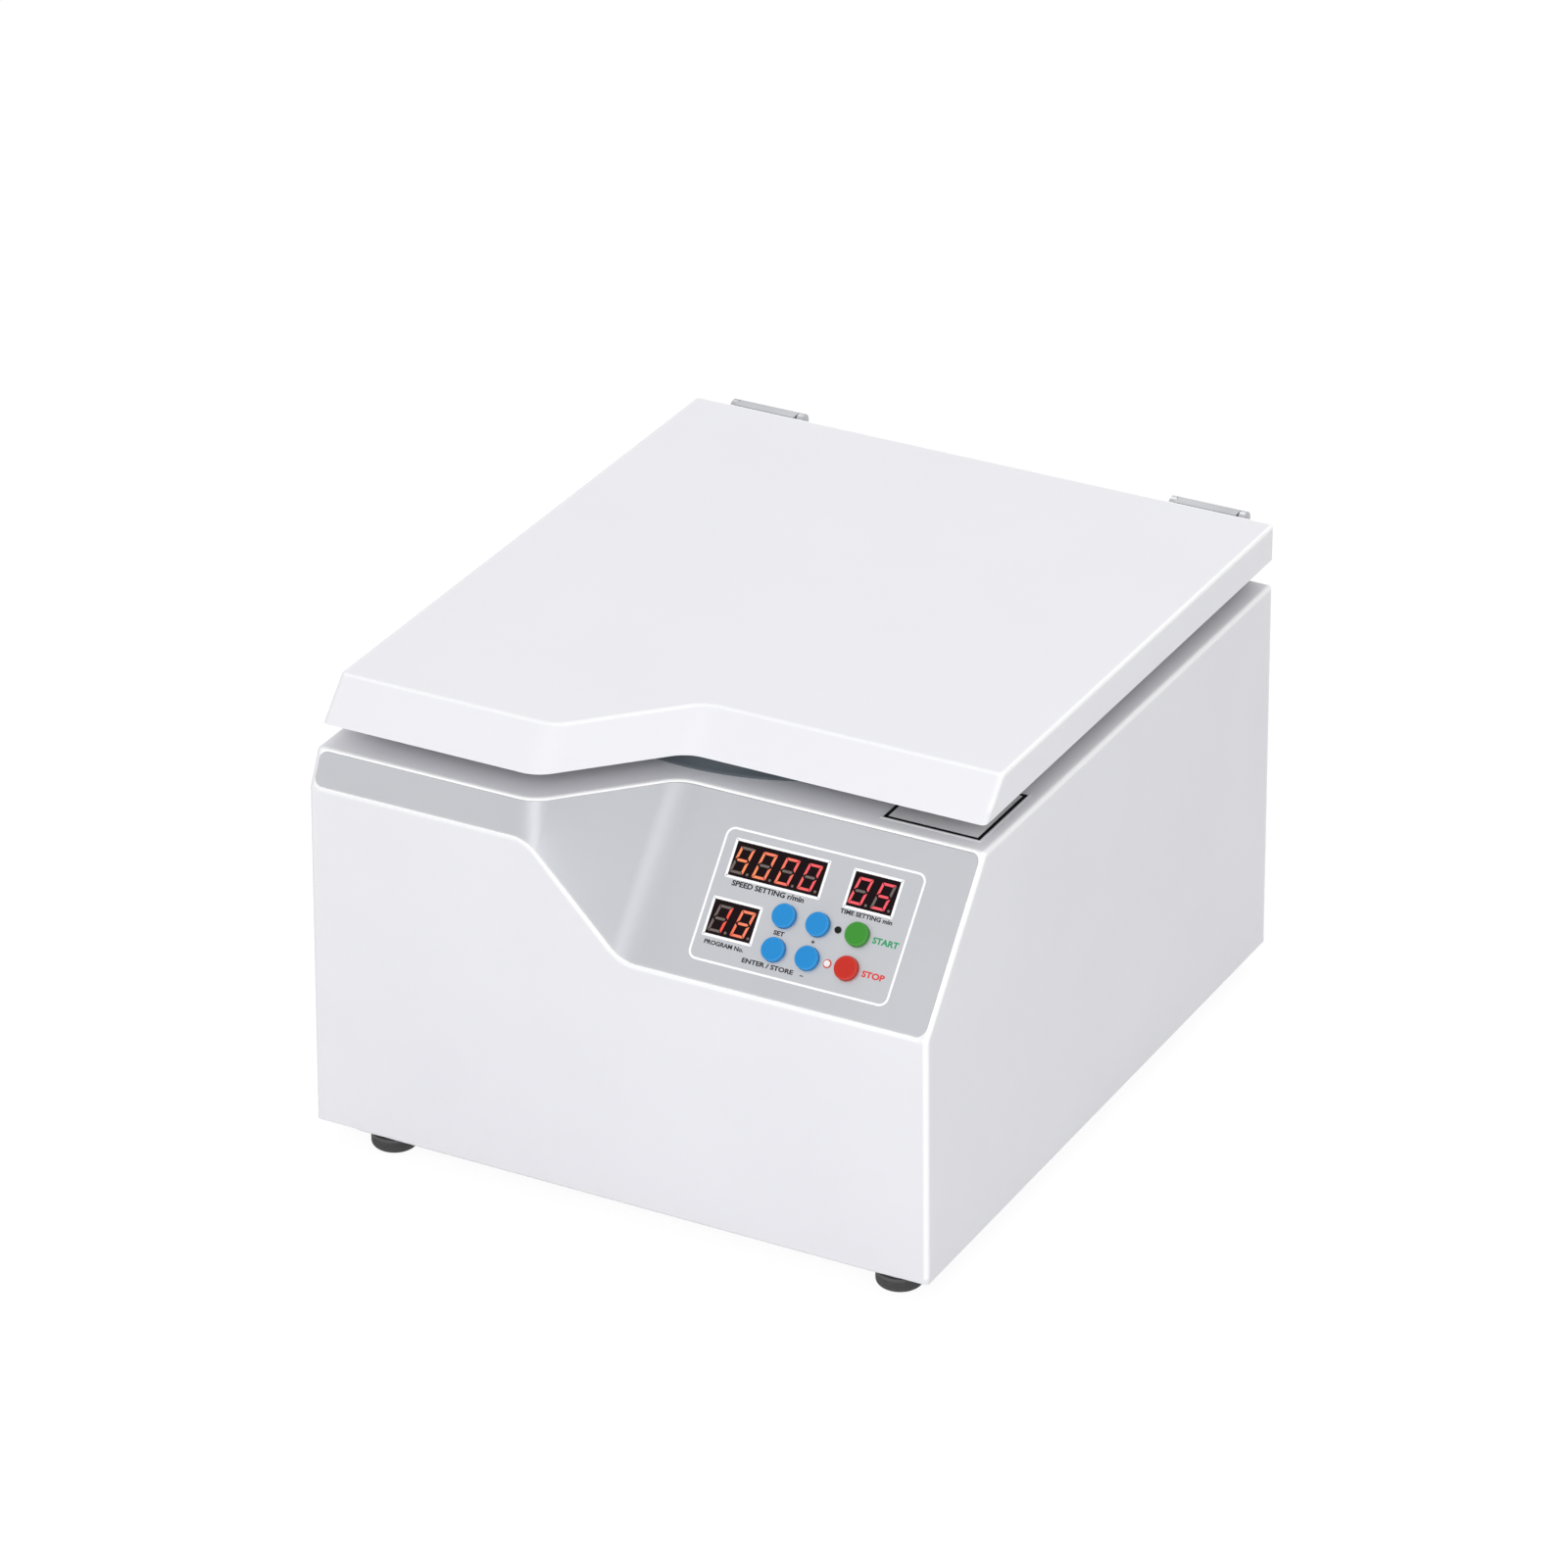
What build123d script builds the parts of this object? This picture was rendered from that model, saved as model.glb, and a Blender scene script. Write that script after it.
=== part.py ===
from build123d import *
from math import atan2, cos, hypot, radians, sin, tan
import os

# A low-speed bench centrifuge with a hinged lid and a swing-out rotor.
# Millimetres. X runs across the front, Y from front to back and Z up.
# The origin is on the table, under the middle of the whole machine.

# Cabinet
deck_width = 352.0
side_draft = 2.5
cabinet_depth = 406.0
cabinet_height = 215.0
ground_gap = 14.0
cabinet_wall = 3.0
edge_round = 1.8

# Slanted control panel: a shallow left part, a step, and a deep right part
left_run = 8.5
left_drop = 19.2
right_run = 64.5
right_drop = 75.5
step_left = -50.0
step_right = 4.0
step_round = 20.0

# Base pan and feet
pan_gap_side = 10.5
pan_gap_end = 6.0
pan_drop = 5.5
pan_sheet = 1.5
pan_lip = 12.0
pan_corner = 12.0
foot_radius = 12.5
foot_round = 3.0
foot_inset_left = 34.0
foot_inset_right = 22.0
foot_inset_end = 17.5
pillar_inset = 24.0
pillar_end = 70.0
pillar_height = 46.0
floor_slot = 90.0

# Chamber
chamber_back = 216.0
chamber_radius = 126.5
chamber_depth = 110.0
bowl_sheet = 1.2
bowl_round = 25.0
bowl_flange = 10.5
collar_radius = 24.0
collar_height = 11.0
seal_gap = 4.5
seal_width = 9.0
seal_round = 3.0
barrel_gap = 3.3
barrel_wall = 3.0

# Lid
lid_width = 348.0
lid_overhang = 5.0
lid_gap = 13.0
lid_thickness = 20.0
lid_wall = 2.5
lid_front_left = 10.5
lid_front_right = 67.5
lid_lean = 19.6
lid_step_left = -49.0
lid_step_right = 6.5
lid_corner = 3.0
lid_edge = 1.2
liner_drop = 2.0
liner_inset = 4.0
liner_sheet = 2.3
liner_rim = 10.0
liner_corner = 9.0
lid_screw_inset = 19.0
front_screw_left = 43.0
front_screw_right = 106.0
rear_screw_inset = 25.0

# Lid hinges
hinge_spacing = 265.6
hinge_length = 44.0
hinge_sheet = 2.0
knuckle_radius = 5.0
hinge_pin_radius = 2.0
fixed_knuckle = 3.5
hinge_back = 11.0
hinge_drop = 5.0
leaf_on_wall = 28.0
leaf_screw_shift = 12.0
wall_screw_drop = 17.0

# Motor and rotor
mount_height = 20.0
mount_radius = 12.0
mount_circle = 80.0
plate_radius = 105.0
plate_sheet = 3.0
motor_radius = 48.0
boot_space = 16.0
motor_wall = 4.0
motor_end = 6.0
bearing_radius = 17.5
bearing_width = 11.0
shaft_radius = 7.0
thread_radius = 5.0
stator_width = 12.0
winding_room = 17.0
armature_radius = 30.0
pivot_circle = 56.0
pivot_below_deck = 27.0
yoke_radius = 78.0
yoke_thickness = 14.0
hub_radius = 20.0
hub_above = 9.0
hub_below = 16.0
hub_bore_end = 5.0
trunnion_radius = 3.0
trunnion_length = 24.0
nut_radius = 12.0
nut_height = 9.0

# Buckets
bucket_radius = 19.5
bucket_wall = 1.7
bucket_floor = 2.5
bucket_above = 20.0
bucket_below = 66.0
bucket_rim = 1.5
bucket_round = 5.0
ear_radius = 8.0
ear_reach = 25.5
cushion_height = 5.0

# Control panel
film_depth = 0.6
film_sheet = 0.5
film_margin = 1.0
film_end = 2.2
film_corner = 4.5
board_depth = 10.0
board_sheet = 1.6
board_size = (110.0, 74.0)
digit_window_height = 17.8
wide_window = 50.6
narrow_window = 25.0
window_below = 0.2
button_rows = (43.8, 26.0)
button_radius = 6.3
button_height = 2.6
button_travel = 1.0
button_flange = 1.3
flange_reach = 1.3
button_round = 0.8
stem_radius = 1.75
lamp_radius = 1.7
lamp_height = 0.6
switch_side = 6.0
switch_height = 4.0
spacer_radius = 3.0

# Lid lock
lock_inset = 71.0
lock_back = 50.0
tongue_width = 16.0
tongue_sheet = 3.0
tongue_reach = 38.0
bolt_radius = 4.0
plunger_radius = 3.0
coil_radius = 11.0
coil_length = 30.0

# Rear panel
panel_half = 122.0
panel_low = 48.0
panel_high = 162.0
panel_rebate = 8.0
panel_sheet = 1.5
inlet_x = 85.0
switch_x = 48.0
socket_z = 75.0
rocker_tilt = 10.0
rear_slot = 70.0

# Deck label
label_inset = 7.4
label_gap = 2.2
label_back = 101.7
label_length = 56.5
label_sheet = 0.3

# Fasteners and fits
screw_radius = 2.0
screw_head = 3.8
screw_head_height = 2.4
small_screw_radius = 1.5
small_head = 2.8
small_head_height = 1.8
fit = 0.05
slack = 0.3

# Heights and places that follow from the dimensions above
deck_z = ground_gap + cabinet_height
deck_under = deck_z - cabinet_wall
front_y = -(cabinet_depth + hinge_back + lid_overhang) / 2
rear_y = front_y + cabinet_depth
pan_z = ground_gap - pan_drop
pan_top = pan_z + pan_sheet
chamber_y = front_y + chamber_back
lid_low = deck_z + lid_gap
lid_high = lid_low + lid_thickness
lid_rear = rear_y + lid_overhang
liner_low = lid_low - liner_drop
hinge_y = lid_rear + hinge_back - knuckle_radius
hinge_z = lid_high - hinge_drop
plate_low = pan_top + mount_height
motor_low = plate_low + plate_sheet
bowl_low = deck_z - chamber_depth
motor_high = bowl_low - boot_space
motor_height = motor_high - motor_low
stator_height = motor_height - 2 * winding_room
seal_inner = chamber_radius + seal_gap
barrel_radius = chamber_radius + bowl_sheet + barrel_gap
pivot_z = deck_z - pivot_below_deck
hub_low = pivot_z - hub_below
hub_high = pivot_z + hub_above
shoulder_z = hub_high - hub_bore_end
hinge_spots = (-hinge_spacing / 2, hinge_spacing / 2)
wall_screw_z = deck_z - wall_screw_drop
lock_x = -deck_width / 2 + lock_inset
reach = deck_width

# Places on the slanted panel: across from the cabinet's right edge, and up the slope
panel_right = deck_width / 2
speed_at = (panel_right - 105.2, 66.4)
time_at = (panel_right - 51.3, 65.9)
program_at = (panel_right - 120.2, 35.1)
board_centre = (panel_right - 79.0, 48.0)
button_columns = (panel_right - 93.6, panel_right - 74.6, panel_right - 52.6)
lamp_column = panel_right - 63.6

outward = (0, -1, 1)
inward = (0, 1, -1)
low_end = (Align.CENTER, Align.CENTER, Align.MIN)
high_end = (Align.CENTER, Align.CENTER, Align.MAX)
along_x = (0, 90, 0)
along_y = (90, 0, 0)
spin_axis = Axis((0, chamber_y, 0), (0, 0, 1))
spin_plane = Plane(origin=(0, chamber_y, 0), x_dir=(1, 0, 0), z_dir=(0, -1, 0))
panel_plane = Plane(
    origin=(0, front_y, deck_z - right_drop),
    x_dir=(1, 0, 0),
    z_dir=(0, -right_drop, right_run),
)

panel_axis = Axis((0, 0, 0), panel_plane.z_dir)

os.makedirs("parts", exist_ok=True)


def half_width_at(height):
    """Half the cabinet's width, which grows towards its lower edge."""
    return deck_width / 2 + side_draft * (deck_z - height) / cabinet_height


def cabinet_block(inset, low, high):
    """Block with the cabinet's leaning sides, its walls moved in by inset."""
    half_low = half_width_at(low) - inset
    half_high = half_width_at(high) - inset
    with BuildPart() as block:
        with BuildSketch(Plane.XZ.offset(-(rear_y - inset))):
            with BuildLine():
                Polyline(
                    (-half_low, low),
                    (half_low, low),
                    (half_high, high),
                    (-half_high, high),
                    close=True,
                )
            make_face()
        extrude(amount=cabinet_depth - 2 * inset)
    return block.part


def panel_faces(depth):
    """The slanted panel's five faces, sunk into the cabinet by depth."""
    shift = depth / 2**0.5
    with BuildLine(Plane.XY.offset(deck_z - shift)) as deck_edge:
        FilletPolyline(
            (-reach, front_y + left_run + shift),
            (step_left, front_y + left_run + shift),
            (step_right, front_y + right_run + shift),
            (reach, front_y + right_run + shift),
            radius=step_round,
        )
    with BuildLine(Plane.XZ.offset(-front_y - shift)) as front_edge:
        FilletPolyline(
            (-reach, deck_z - left_drop - shift),
            (step_left, deck_z - left_drop - shift),
            (step_right, deck_z - right_drop - shift),
            (reach, deck_z - right_drop - shift),
            radius=step_round,
        )
    upper = deck_edge.edges().sort_by(Axis.X)
    lower = front_edge.edges().sort_by(Axis.X)
    return [Face.make_surface_from_curves(a, b) for a, b in zip(upper, lower)]


def panel_layer(depth, thickness, direction):
    """Solid swept from the slanted panel, outwards or inwards."""
    with BuildPart() as layer:
        for face in panel_faces(depth):
            extrude(face, amount=thickness, dir=direction)
    return layer.part


def film_prism(gap, corner):
    """Prism through the cabinet's front with the control film's outline, smaller by gap."""
    margin = film_margin + gap
    end = film_end + gap
    top = deck_z - margin
    left = deck_z - left_drop + margin
    right = deck_z - right_drop + margin
    with BuildPart() as prism:
        with BuildSketch(Plane.XZ.offset(-front_y)) as outline:
            with BuildLine():
                Polyline(
                    (-half_width_at(top) + end, top),
                    (half_width_at(top) - end, top),
                    (half_width_at(right) - end, right),
                    (step_right, right),
                    (step_left, left),
                    (-half_width_at(left) + end, left),
                    close=True,
                )
            make_face()
            bends = outline.vertices().filter_by(lambda v: abs(v.X) < deck_width / 4)
            fillet(bends, step_round)
            ends = outline.vertices().filter_by(lambda v: abs(v.X) > deck_width / 2 - 2 * end)
            fillet(ends, corner)
        extrude(amount=-right_run * 1.5)
    return prism.part


def turned(*points):
    """Solid turned about the rotor's axis from radius and height pairs."""
    with BuildPart() as blank:
        with BuildSketch(spin_plane):
            with BuildLine():
                Polyline(*points, close=True)
            make_face()
        revolve(axis=spin_axis)
    return blank.part


def pan_screw(radius, length, head, head_height):
    """Screw with a domed head on +Z, its shank behind the plane, and a cross recess."""
    with BuildPart() as screw:
        Cylinder(head, head_height, align=low_end)
        fillet(screw.faces().sort_by(Axis.Z)[-1].edges(), head_height * 0.45)
        Cylinder(radius, length, align=high_end)
        with Locations((0, 0, head_height)):
            Box(head, head * 0.28, head_height * 0.8, mode=Mode.SUBTRACT)
            Box(head * 0.28, head, head_height * 0.8, mode=Mode.SUBTRACT)
    return screw.part


# Cabinet shell
foot_spots = [
    (x, y)
    for x in (-deck_width / 2 + foot_inset_left, deck_width / 2 - foot_inset_right)
    for y in (front_y + foot_inset_end, rear_y - foot_inset_end)
]
pillar_x = deck_width / 2 - pillar_inset
pillar_radius = 6.0
pillar_top = ground_gap + pillar_height
pillar_spots = [
    (x, y)
    for x in (-pillar_x, pillar_x)
    for y in (front_y + pillar_end, rear_y - pillar_end)
]
tongue_y = front_y + lock_back
slot_width = tongue_width + 4.0
slot_front = 7.0
slot_back = 4.0


def on_case_rim(edge):
    """True for edges of the deck, the upright corners and the panel's rim."""
    middle = edge.center()
    on_deck = abs(middle.Z - deck_z) < 0.01
    on_side = abs(abs(middle.X) - half_width_at(middle.Z)) < 0.01 and middle.Z > ground_gap + 1
    above_panel_foot = middle.Z > deck_z - right_drop - 1
    on_front = abs(middle.Y - front_y) < 0.01 and above_panel_foot
    return on_deck or on_side or on_front


with BuildPart() as cavity:
    add(cabinet_block(cabinet_wall, ground_gap - 1, deck_under))
    add(panel_layer(cabinet_wall, reach, outward), mode=Mode.SUBTRACT)

with BuildPart() as cabinet_body:
    add(cabinet_block(0, ground_gap, deck_z))
    add(panel_layer(0, reach, outward), mode=Mode.SUBTRACT)
    fillet(cabinet_body.edges().filter_by(on_case_rim), edge_round)
    add(cavity.part, mode=Mode.SUBTRACT)
    for x, y in pillar_spots:
        side = 1 if x > 0 else -1
        with Locations((x, y, pan_top)):
            Cylinder(pillar_radius, pillar_top - pan_top, align=low_end)
        rib_low = ground_gap + pan_lip + 1.5
        rib_end = half_width_at(rib_low) - cabinet_wall / 2
        with Locations(((x + side * rib_end) / 2, y, (rib_low + pillar_top) / 2)):
            Box(rib_end - abs(x), cabinet_wall, pillar_top - rib_low)
        with Locations((x, y, pan_top)):
            Cylinder(screw_radius + fit, 12, align=low_end, mode=Mode.SUBTRACT)
    with Locations((0, chamber_y, deck_z)):
        Cylinder(chamber_radius + bowl_sheet + 1.3, 4 * cabinet_wall, mode=Mode.SUBTRACT)
    with Locations((lock_x, tongue_y + (slot_back - slot_front) / 2, deck_z)):
        Box(slot_width, slot_front + slot_back, 4 * cabinet_wall, mode=Mode.SUBTRACT)

with BuildPart() as film_recess:
    add(panel_layer(0, film_depth, inward))
    add(film_prism(0, film_corner), mode=Mode.INTERSECT)

window_holes = [
    (speed_at, wide_window),
    (time_at, narrow_window),
    (program_at, narrow_window),
]
button_spots = [(column, row) for row in button_rows for column in button_columns]
lamp_spots = [(lamp_column, row) for row in button_rows]


def panel_holes(gap):
    """Cutter for the windows, button holes and lamp holes in the slanted panel."""
    with BuildPart() as holes:
        with BuildSketch(panel_plane.offset(1)):
            for spot, width in window_holes:
                with Locations(spot):
                    Rectangle(width + 2 * gap, digit_window_height + 2 * gap)
            with Locations(*button_spots):
                Circle(button_radius + gap)
            with Locations(*lamp_spots):
                Circle(lamp_radius + gap)
        extrude(amount=-(cabinet_wall + 3))
    return holes.part


rear_screw_spots = [
    (x, z)
    for x in (-panel_half - panel_rebate / 2, panel_half + panel_rebate / 2)
    for z in (panel_low, (panel_low + panel_high) / 2, panel_high)
]

with BuildPart() as cabinet_shell:
    add(cabinet_body.part)
    add(film_recess.part, mode=Mode.SUBTRACT)
    add(panel_holes(slack), mode=Mode.SUBTRACT)
    with BuildSketch(Plane.XZ.offset(-rear_y)):
        with Locations((0, (panel_low + panel_high) / 2)):
            Rectangle(2 * (panel_half + panel_rebate), panel_high - panel_low + 2 * panel_rebate)
    extrude(amount=panel_sheet, mode=Mode.SUBTRACT)
    with BuildSketch(Plane.XZ.offset(-rear_y)):
        with Locations((0, (panel_low + panel_high) / 2)):
            Rectangle(2 * panel_half, panel_high - panel_low)
        with Locations(*rear_screw_spots):
            Circle(screw_radius + fit)
    extrude(amount=2 * cabinet_wall, mode=Mode.SUBTRACT)
    for x in hinge_spots:
        with BuildSketch(Plane.XZ.offset(-rear_y)):
            with Locations((x - leaf_screw_shift, wall_screw_z), (x + leaf_screw_shift, wall_screw_z)):
                Circle(screw_radius + fit)
        extrude(amount=2 * cabinet_wall, mode=Mode.SUBTRACT)
cabinet_shell.part.label = "cabinet_shell"
export_step(cabinet_shell.part, "parts/cabinet_shell.step")

# Control film
with BuildPart() as control_film:
    add(panel_layer(film_depth, film_sheet, outward))
    add(film_prism(slack, film_corner - slack), mode=Mode.INTERSECT)
    add(panel_holes(slack / 2), mode=Mode.SUBTRACT)
control_film.part.label = "control_film"
export_step(control_film.part, "parts/control_film.step")


# Displays, lamps and control board
def display(width, spot, label):
    """One seven-segment module, from the board to just under the film's face."""
    with BuildPart() as module:
        with BuildSketch(panel_plane.offset(-board_depth)):
            with Locations(spot):
                Rectangle(width, digit_window_height)
        extrude(amount=board_depth - window_below)
    module.part.label = label
    export_step(module.part, f"parts/{label}.step")


display(wide_window, speed_at, "speed_display")
display(narrow_window, time_at, "time_display")
display(narrow_window, program_at, "program_display")

with BuildPart() as indicator_lamps:
    for spot in lamp_spots:
        with BuildSketch(panel_plane.offset(-board_depth)):
            with Locations(spot):
                Circle(lamp_radius)
        extrude(amount=board_depth + lamp_height)
indicator_lamps.part.label = "indicator_lamps"
export_step(indicator_lamps.part, "parts/indicator_lamps.step")

spacer_grid = (board_size[0] - 8.0, board_size[1] - 7.0)
with BuildPart() as control_board:
    with BuildSketch(panel_plane.offset(-board_depth - board_sheet)):
        with Locations(board_centre):
            Rectangle(*board_size)
    extrude(amount=board_sheet)
    with BuildSketch(panel_plane.offset(-board_depth - board_sheet)):
        with Locations((board_centre[0] - 20, board_centre[1])):
            Rectangle(22, 22)
        with Locations((board_centre[0] + 25, board_centre[1] + 10)):
            Rectangle(30, 8)
    extrude(amount=-4)
control_board.part.label = "control_board"
export_step(control_board.part, "parts/control_board.step")

with BuildPart() as key_switches:
    with BuildSketch(panel_plane.offset(-board_depth)):
        with Locations(*button_spots):
            Rectangle(switch_side, switch_side)
    extrude(amount=switch_height)
    with BuildSketch(panel_plane.offset(-board_depth + switch_height)):
        with Locations(*button_spots):
            Circle(stem_radius + fit)
    extrude(amount=-switch_height + 0.5, mode=Mode.SUBTRACT)
key_switches.part.label = "key_switches"
export_step(key_switches.part, "parts/key_switches.step")


def push_button(spot, label):
    """Cap with a flange behind the panel and a stem in its key switch."""
    flange_top = -cabinet_wall - slack
    stem_end = -board_depth + 0.5 + button_travel + slack
    with BuildPart() as button:
        with BuildSketch(panel_plane.offset(flange_top - button_flange)):
            with Locations(spot):
                Circle(button_radius)
        extrude(amount=button_height - flange_top + button_flange)
        fillet(button.faces().sort_by(panel_axis)[-1].edges(), button_round)
        with BuildSketch(panel_plane.offset(flange_top - button_flange)):
            with Locations(spot):
                Circle(button_radius + flange_reach)
        extrude(amount=button_flange)
        with BuildSketch(panel_plane.offset(stem_end)):
            with Locations(spot):
                Circle(stem_radius)
        extrude(amount=flange_top - button_flange - stem_end)
    button.part.label = label
    export_step(button.part, f"parts/{label}.step")


button_names = (
    "button_menu",
    "button_up",
    "button_start",
    "button_enter",
    "button_down",
    "button_stop",
)
for spot, label in zip(button_spots, button_names):
    push_button(spot, label)

# Base pan, feet and their screws
pan_half = half_width_at(ground_gap) - pan_gap_side
pan_middle = (front_y + rear_y) / 2
pan_length = cabinet_depth - 2 * pan_gap_end
with BuildPart() as base_pan:
    with BuildSketch(Plane.XY.offset(pan_z)):
        with Locations((0, pan_middle)):
            RectangleRounded(2 * pan_half, pan_length, pan_corner)
    extrude(amount=pan_drop + pan_lip)
    fillet(base_pan.faces().sort_by(Axis.Z)[0].edges(), 2.0)
    with BuildSketch(Plane.XY.offset(pan_top)):
        with Locations((0, pan_middle)):
            RectangleRounded(
                2 * (pan_half - pan_sheet), pan_length - 2 * pan_sheet, pan_corner - pan_sheet
            )
    extrude(amount=pan_drop + pan_lip, mode=Mode.SUBTRACT)
    with BuildSketch(Plane.XY.offset(pan_z)):
        with Locations(*foot_spots, *pillar_spots):
            Circle(screw_radius + fit)
        with Locations((0, chamber_y)):
            with GridLocations(0, 14, 1, 5):
                SlotOverall(floor_slot, 6)
    extrude(amount=pan_sheet, mode=Mode.SUBTRACT)
base_pan.part.label = "base_pan"
export_step(base_pan.part, "parts/base_pan.step")

foot_pocket = 4.5
with BuildPart() as rubber_feet:
    with BuildSketch():
        with Locations(*foot_spots):
            Circle(foot_radius)
    extrude(amount=pan_z)
    fillet(rubber_feet.edges().group_by(Axis.Z)[0], foot_round)
    with Locations(*[(x, y, 0) for x, y in foot_spots]):
        Cylinder(screw_head + 0.6, foot_pocket, align=low_end, mode=Mode.SUBTRACT)
        Cylinder(screw_radius + fit, pan_z, align=low_end, mode=Mode.SUBTRACT)
rubber_feet.part.label = "rubber_feet"
export_step(rubber_feet.part, "parts/rubber_feet.step")

case_screw = pan_screw(screw_radius, 9.5, screw_head, screw_head_height)
with BuildPart() as case_screws:
    for x, y in foot_spots:
        with Locations(Plane(origin=(x, y, foot_pocket), z_dir=(0, 0, -1))):
            add(case_screw)
    for x, y in pillar_spots:
        with Locations(Plane(origin=(x, y, pan_z), z_dir=(0, 0, -1))):
            add(case_screw)
    for x, z in rear_screw_spots:
        with Locations(Plane(origin=(x, rear_y, z), z_dir=(0, 1, 0))):
            add(case_screw)
case_screws.part.label = "case_screws"
export_step(case_screws.part, "parts/case_screws.step")

# Chamber bowl, its seal and the guard barrel
with BuildPart() as bowl_space:
    with Locations((0, chamber_y, bowl_low + bowl_sheet)):
        Cylinder(chamber_radius, chamber_depth + bowl_sheet, align=low_end)
    fillet(bowl_space.faces().sort_by(Axis.Z)[0].edges(), bowl_round)

with BuildPart() as chamber_bowl:
    with Locations((0, chamber_y, bowl_low)):
        Cylinder(chamber_radius + bowl_sheet, chamber_depth, align=low_end)
    fillet(chamber_bowl.faces().sort_by(Axis.Z)[0].edges(), bowl_round + bowl_sheet)
    with Locations((0, chamber_y, deck_z)):
        Cylinder(chamber_radius + bowl_flange, bowl_sheet, align=low_end)
    add(bowl_space.part, mode=Mode.SUBTRACT)
    with Locations((0, chamber_y, bowl_low)):
        Cylinder(collar_radius + bowl_sheet, collar_height, align=low_end)
        Cylinder(collar_radius, collar_height, align=low_end, mode=Mode.SUBTRACT)
chamber_bowl.part.label = "chamber_bowl"
export_step(chamber_bowl.part, "parts/chamber_bowl.step")

seal_outer = seal_inner + seal_width
flange_edge = chamber_radius + bowl_flange + slack
seal_top = liner_low - slack
with BuildPart() as chamber_seal:
    add(
        turned(
            (seal_inner, deck_z + bowl_sheet),
            (flange_edge, deck_z + bowl_sheet),
            (flange_edge, deck_z),
            (seal_outer, deck_z),
            (seal_outer, seal_top),
            (seal_inner, seal_top),
        )
    )
    fillet(chamber_seal.faces().sort_by(Axis.Z)[-1].edges(), seal_round)
chamber_seal.part.label = "chamber_seal"
export_step(chamber_seal.part, "parts/chamber_seal.step")

with BuildPart() as guard_barrel:
    with Locations((0, chamber_y, pan_top)):
        Cylinder(barrel_radius + barrel_wall, deck_under - slack - pan_top, align=low_end)
        Cylinder(barrel_radius, deck_under - slack - pan_top, align=low_end, mode=Mode.SUBTRACT)
guard_barrel.part.label = "guard_barrel"
export_step(guard_barrel.part, "parts/guard_barrel.step")

# Motor on its plate and rubber mounts
with BuildPart() as vibration_mounts:
    with Locations((0, chamber_y, pan_top)):
        with PolarLocations(mount_circle, 4, start_angle=45):
            Cylinder(mount_radius, mount_height, align=low_end)
vibration_mounts.part.label = "vibration_mounts"
export_step(vibration_mounts.part, "parts/vibration_mounts.step")

with BuildPart() as motor_plate:
    with Locations((0, chamber_y, plate_low)):
        Cylinder(plate_radius, plate_sheet, align=low_end)
        Cylinder(shaft_radius + 6, plate_sheet, align=low_end, mode=Mode.SUBTRACT)
motor_plate.part.label = "motor_plate"
export_step(motor_plate.part, "parts/motor_plate.step")

seat_radius = bearing_radius + fit
seat_wall = 5.0
seat_low = motor_low + motor_wall
seat_high = motor_high - motor_wall
with BuildPart() as motor_housing:
    with Locations((0, chamber_y, motor_low)):
        Cylinder(motor_radius, motor_height, align=low_end)
    add(
        turned(
            (0, seat_low),
            (seat_radius, seat_low),
            (seat_radius, seat_low + bearing_width),
            (seat_radius + seat_wall, seat_low + bearing_width),
            (seat_radius + seat_wall, motor_low + motor_end),
            (motor_radius - motor_wall, motor_low + motor_end),
            (motor_radius - motor_wall, motor_high - motor_end),
            (seat_radius + seat_wall, motor_high - motor_end),
            (seat_radius + seat_wall, seat_high - bearing_width),
            (seat_radius, seat_high - bearing_width),
            (seat_radius, seat_high),
            (0, seat_high),
        ),
        mode=Mode.SUBTRACT,
    )
    with Locations((0, chamber_y, motor_high)):
        Cylinder(shaft_radius + 2, 3 * motor_wall, mode=Mode.SUBTRACT)
motor_housing.part.label = "motor_housing"
export_step(motor_housing.part, "parts/motor_housing.step")

with BuildPart() as motor_bearings:
    with Locations((0, chamber_y, seat_low), (0, chamber_y, seat_high - bearing_width)):
        Cylinder(bearing_radius, bearing_width, align=low_end)
        Cylinder(shaft_radius + fit, bearing_width, align=low_end, mode=Mode.SUBTRACT)
motor_bearings.part.label = "motor_bearings"
export_step(motor_bearings.part, "parts/motor_bearings.step")

motor_middle = (motor_low + motor_high) / 2
stator_outer = motor_radius - motor_wall - fit
with BuildPart() as stator:
    with Locations((0, chamber_y, motor_middle)):
        Cylinder(stator_outer, stator_height)
        Cylinder(stator_outer - stator_width, stator_height, mode=Mode.SUBTRACT)
stator.part.label = "stator"
export_step(stator.part, "parts/stator.step")

with BuildPart() as armature:
    with Locations((0, chamber_y, motor_middle)):
        Cylinder(armature_radius, stator_height - 4)
        Cylinder(shaft_radius + fit / 2, stator_height, mode=Mode.SUBTRACT)
armature.part.label = "armature"
export_step(armature.part, "parts/armature.step")

with BuildPart() as motor_shaft:
    with Locations((0, chamber_y, seat_low + 0.5)):
        Cylinder(shaft_radius, shoulder_z - seat_low - 0.5, align=low_end)
    with Locations((0, chamber_y, shoulder_z)):
        Cylinder(thread_radius, hub_high + nut_height - 1 - shoulder_z, align=low_end)
motor_shaft.part.label = "motor_shaft"
export_step(motor_shaft.part, "parts/motor_shaft.step")

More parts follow.
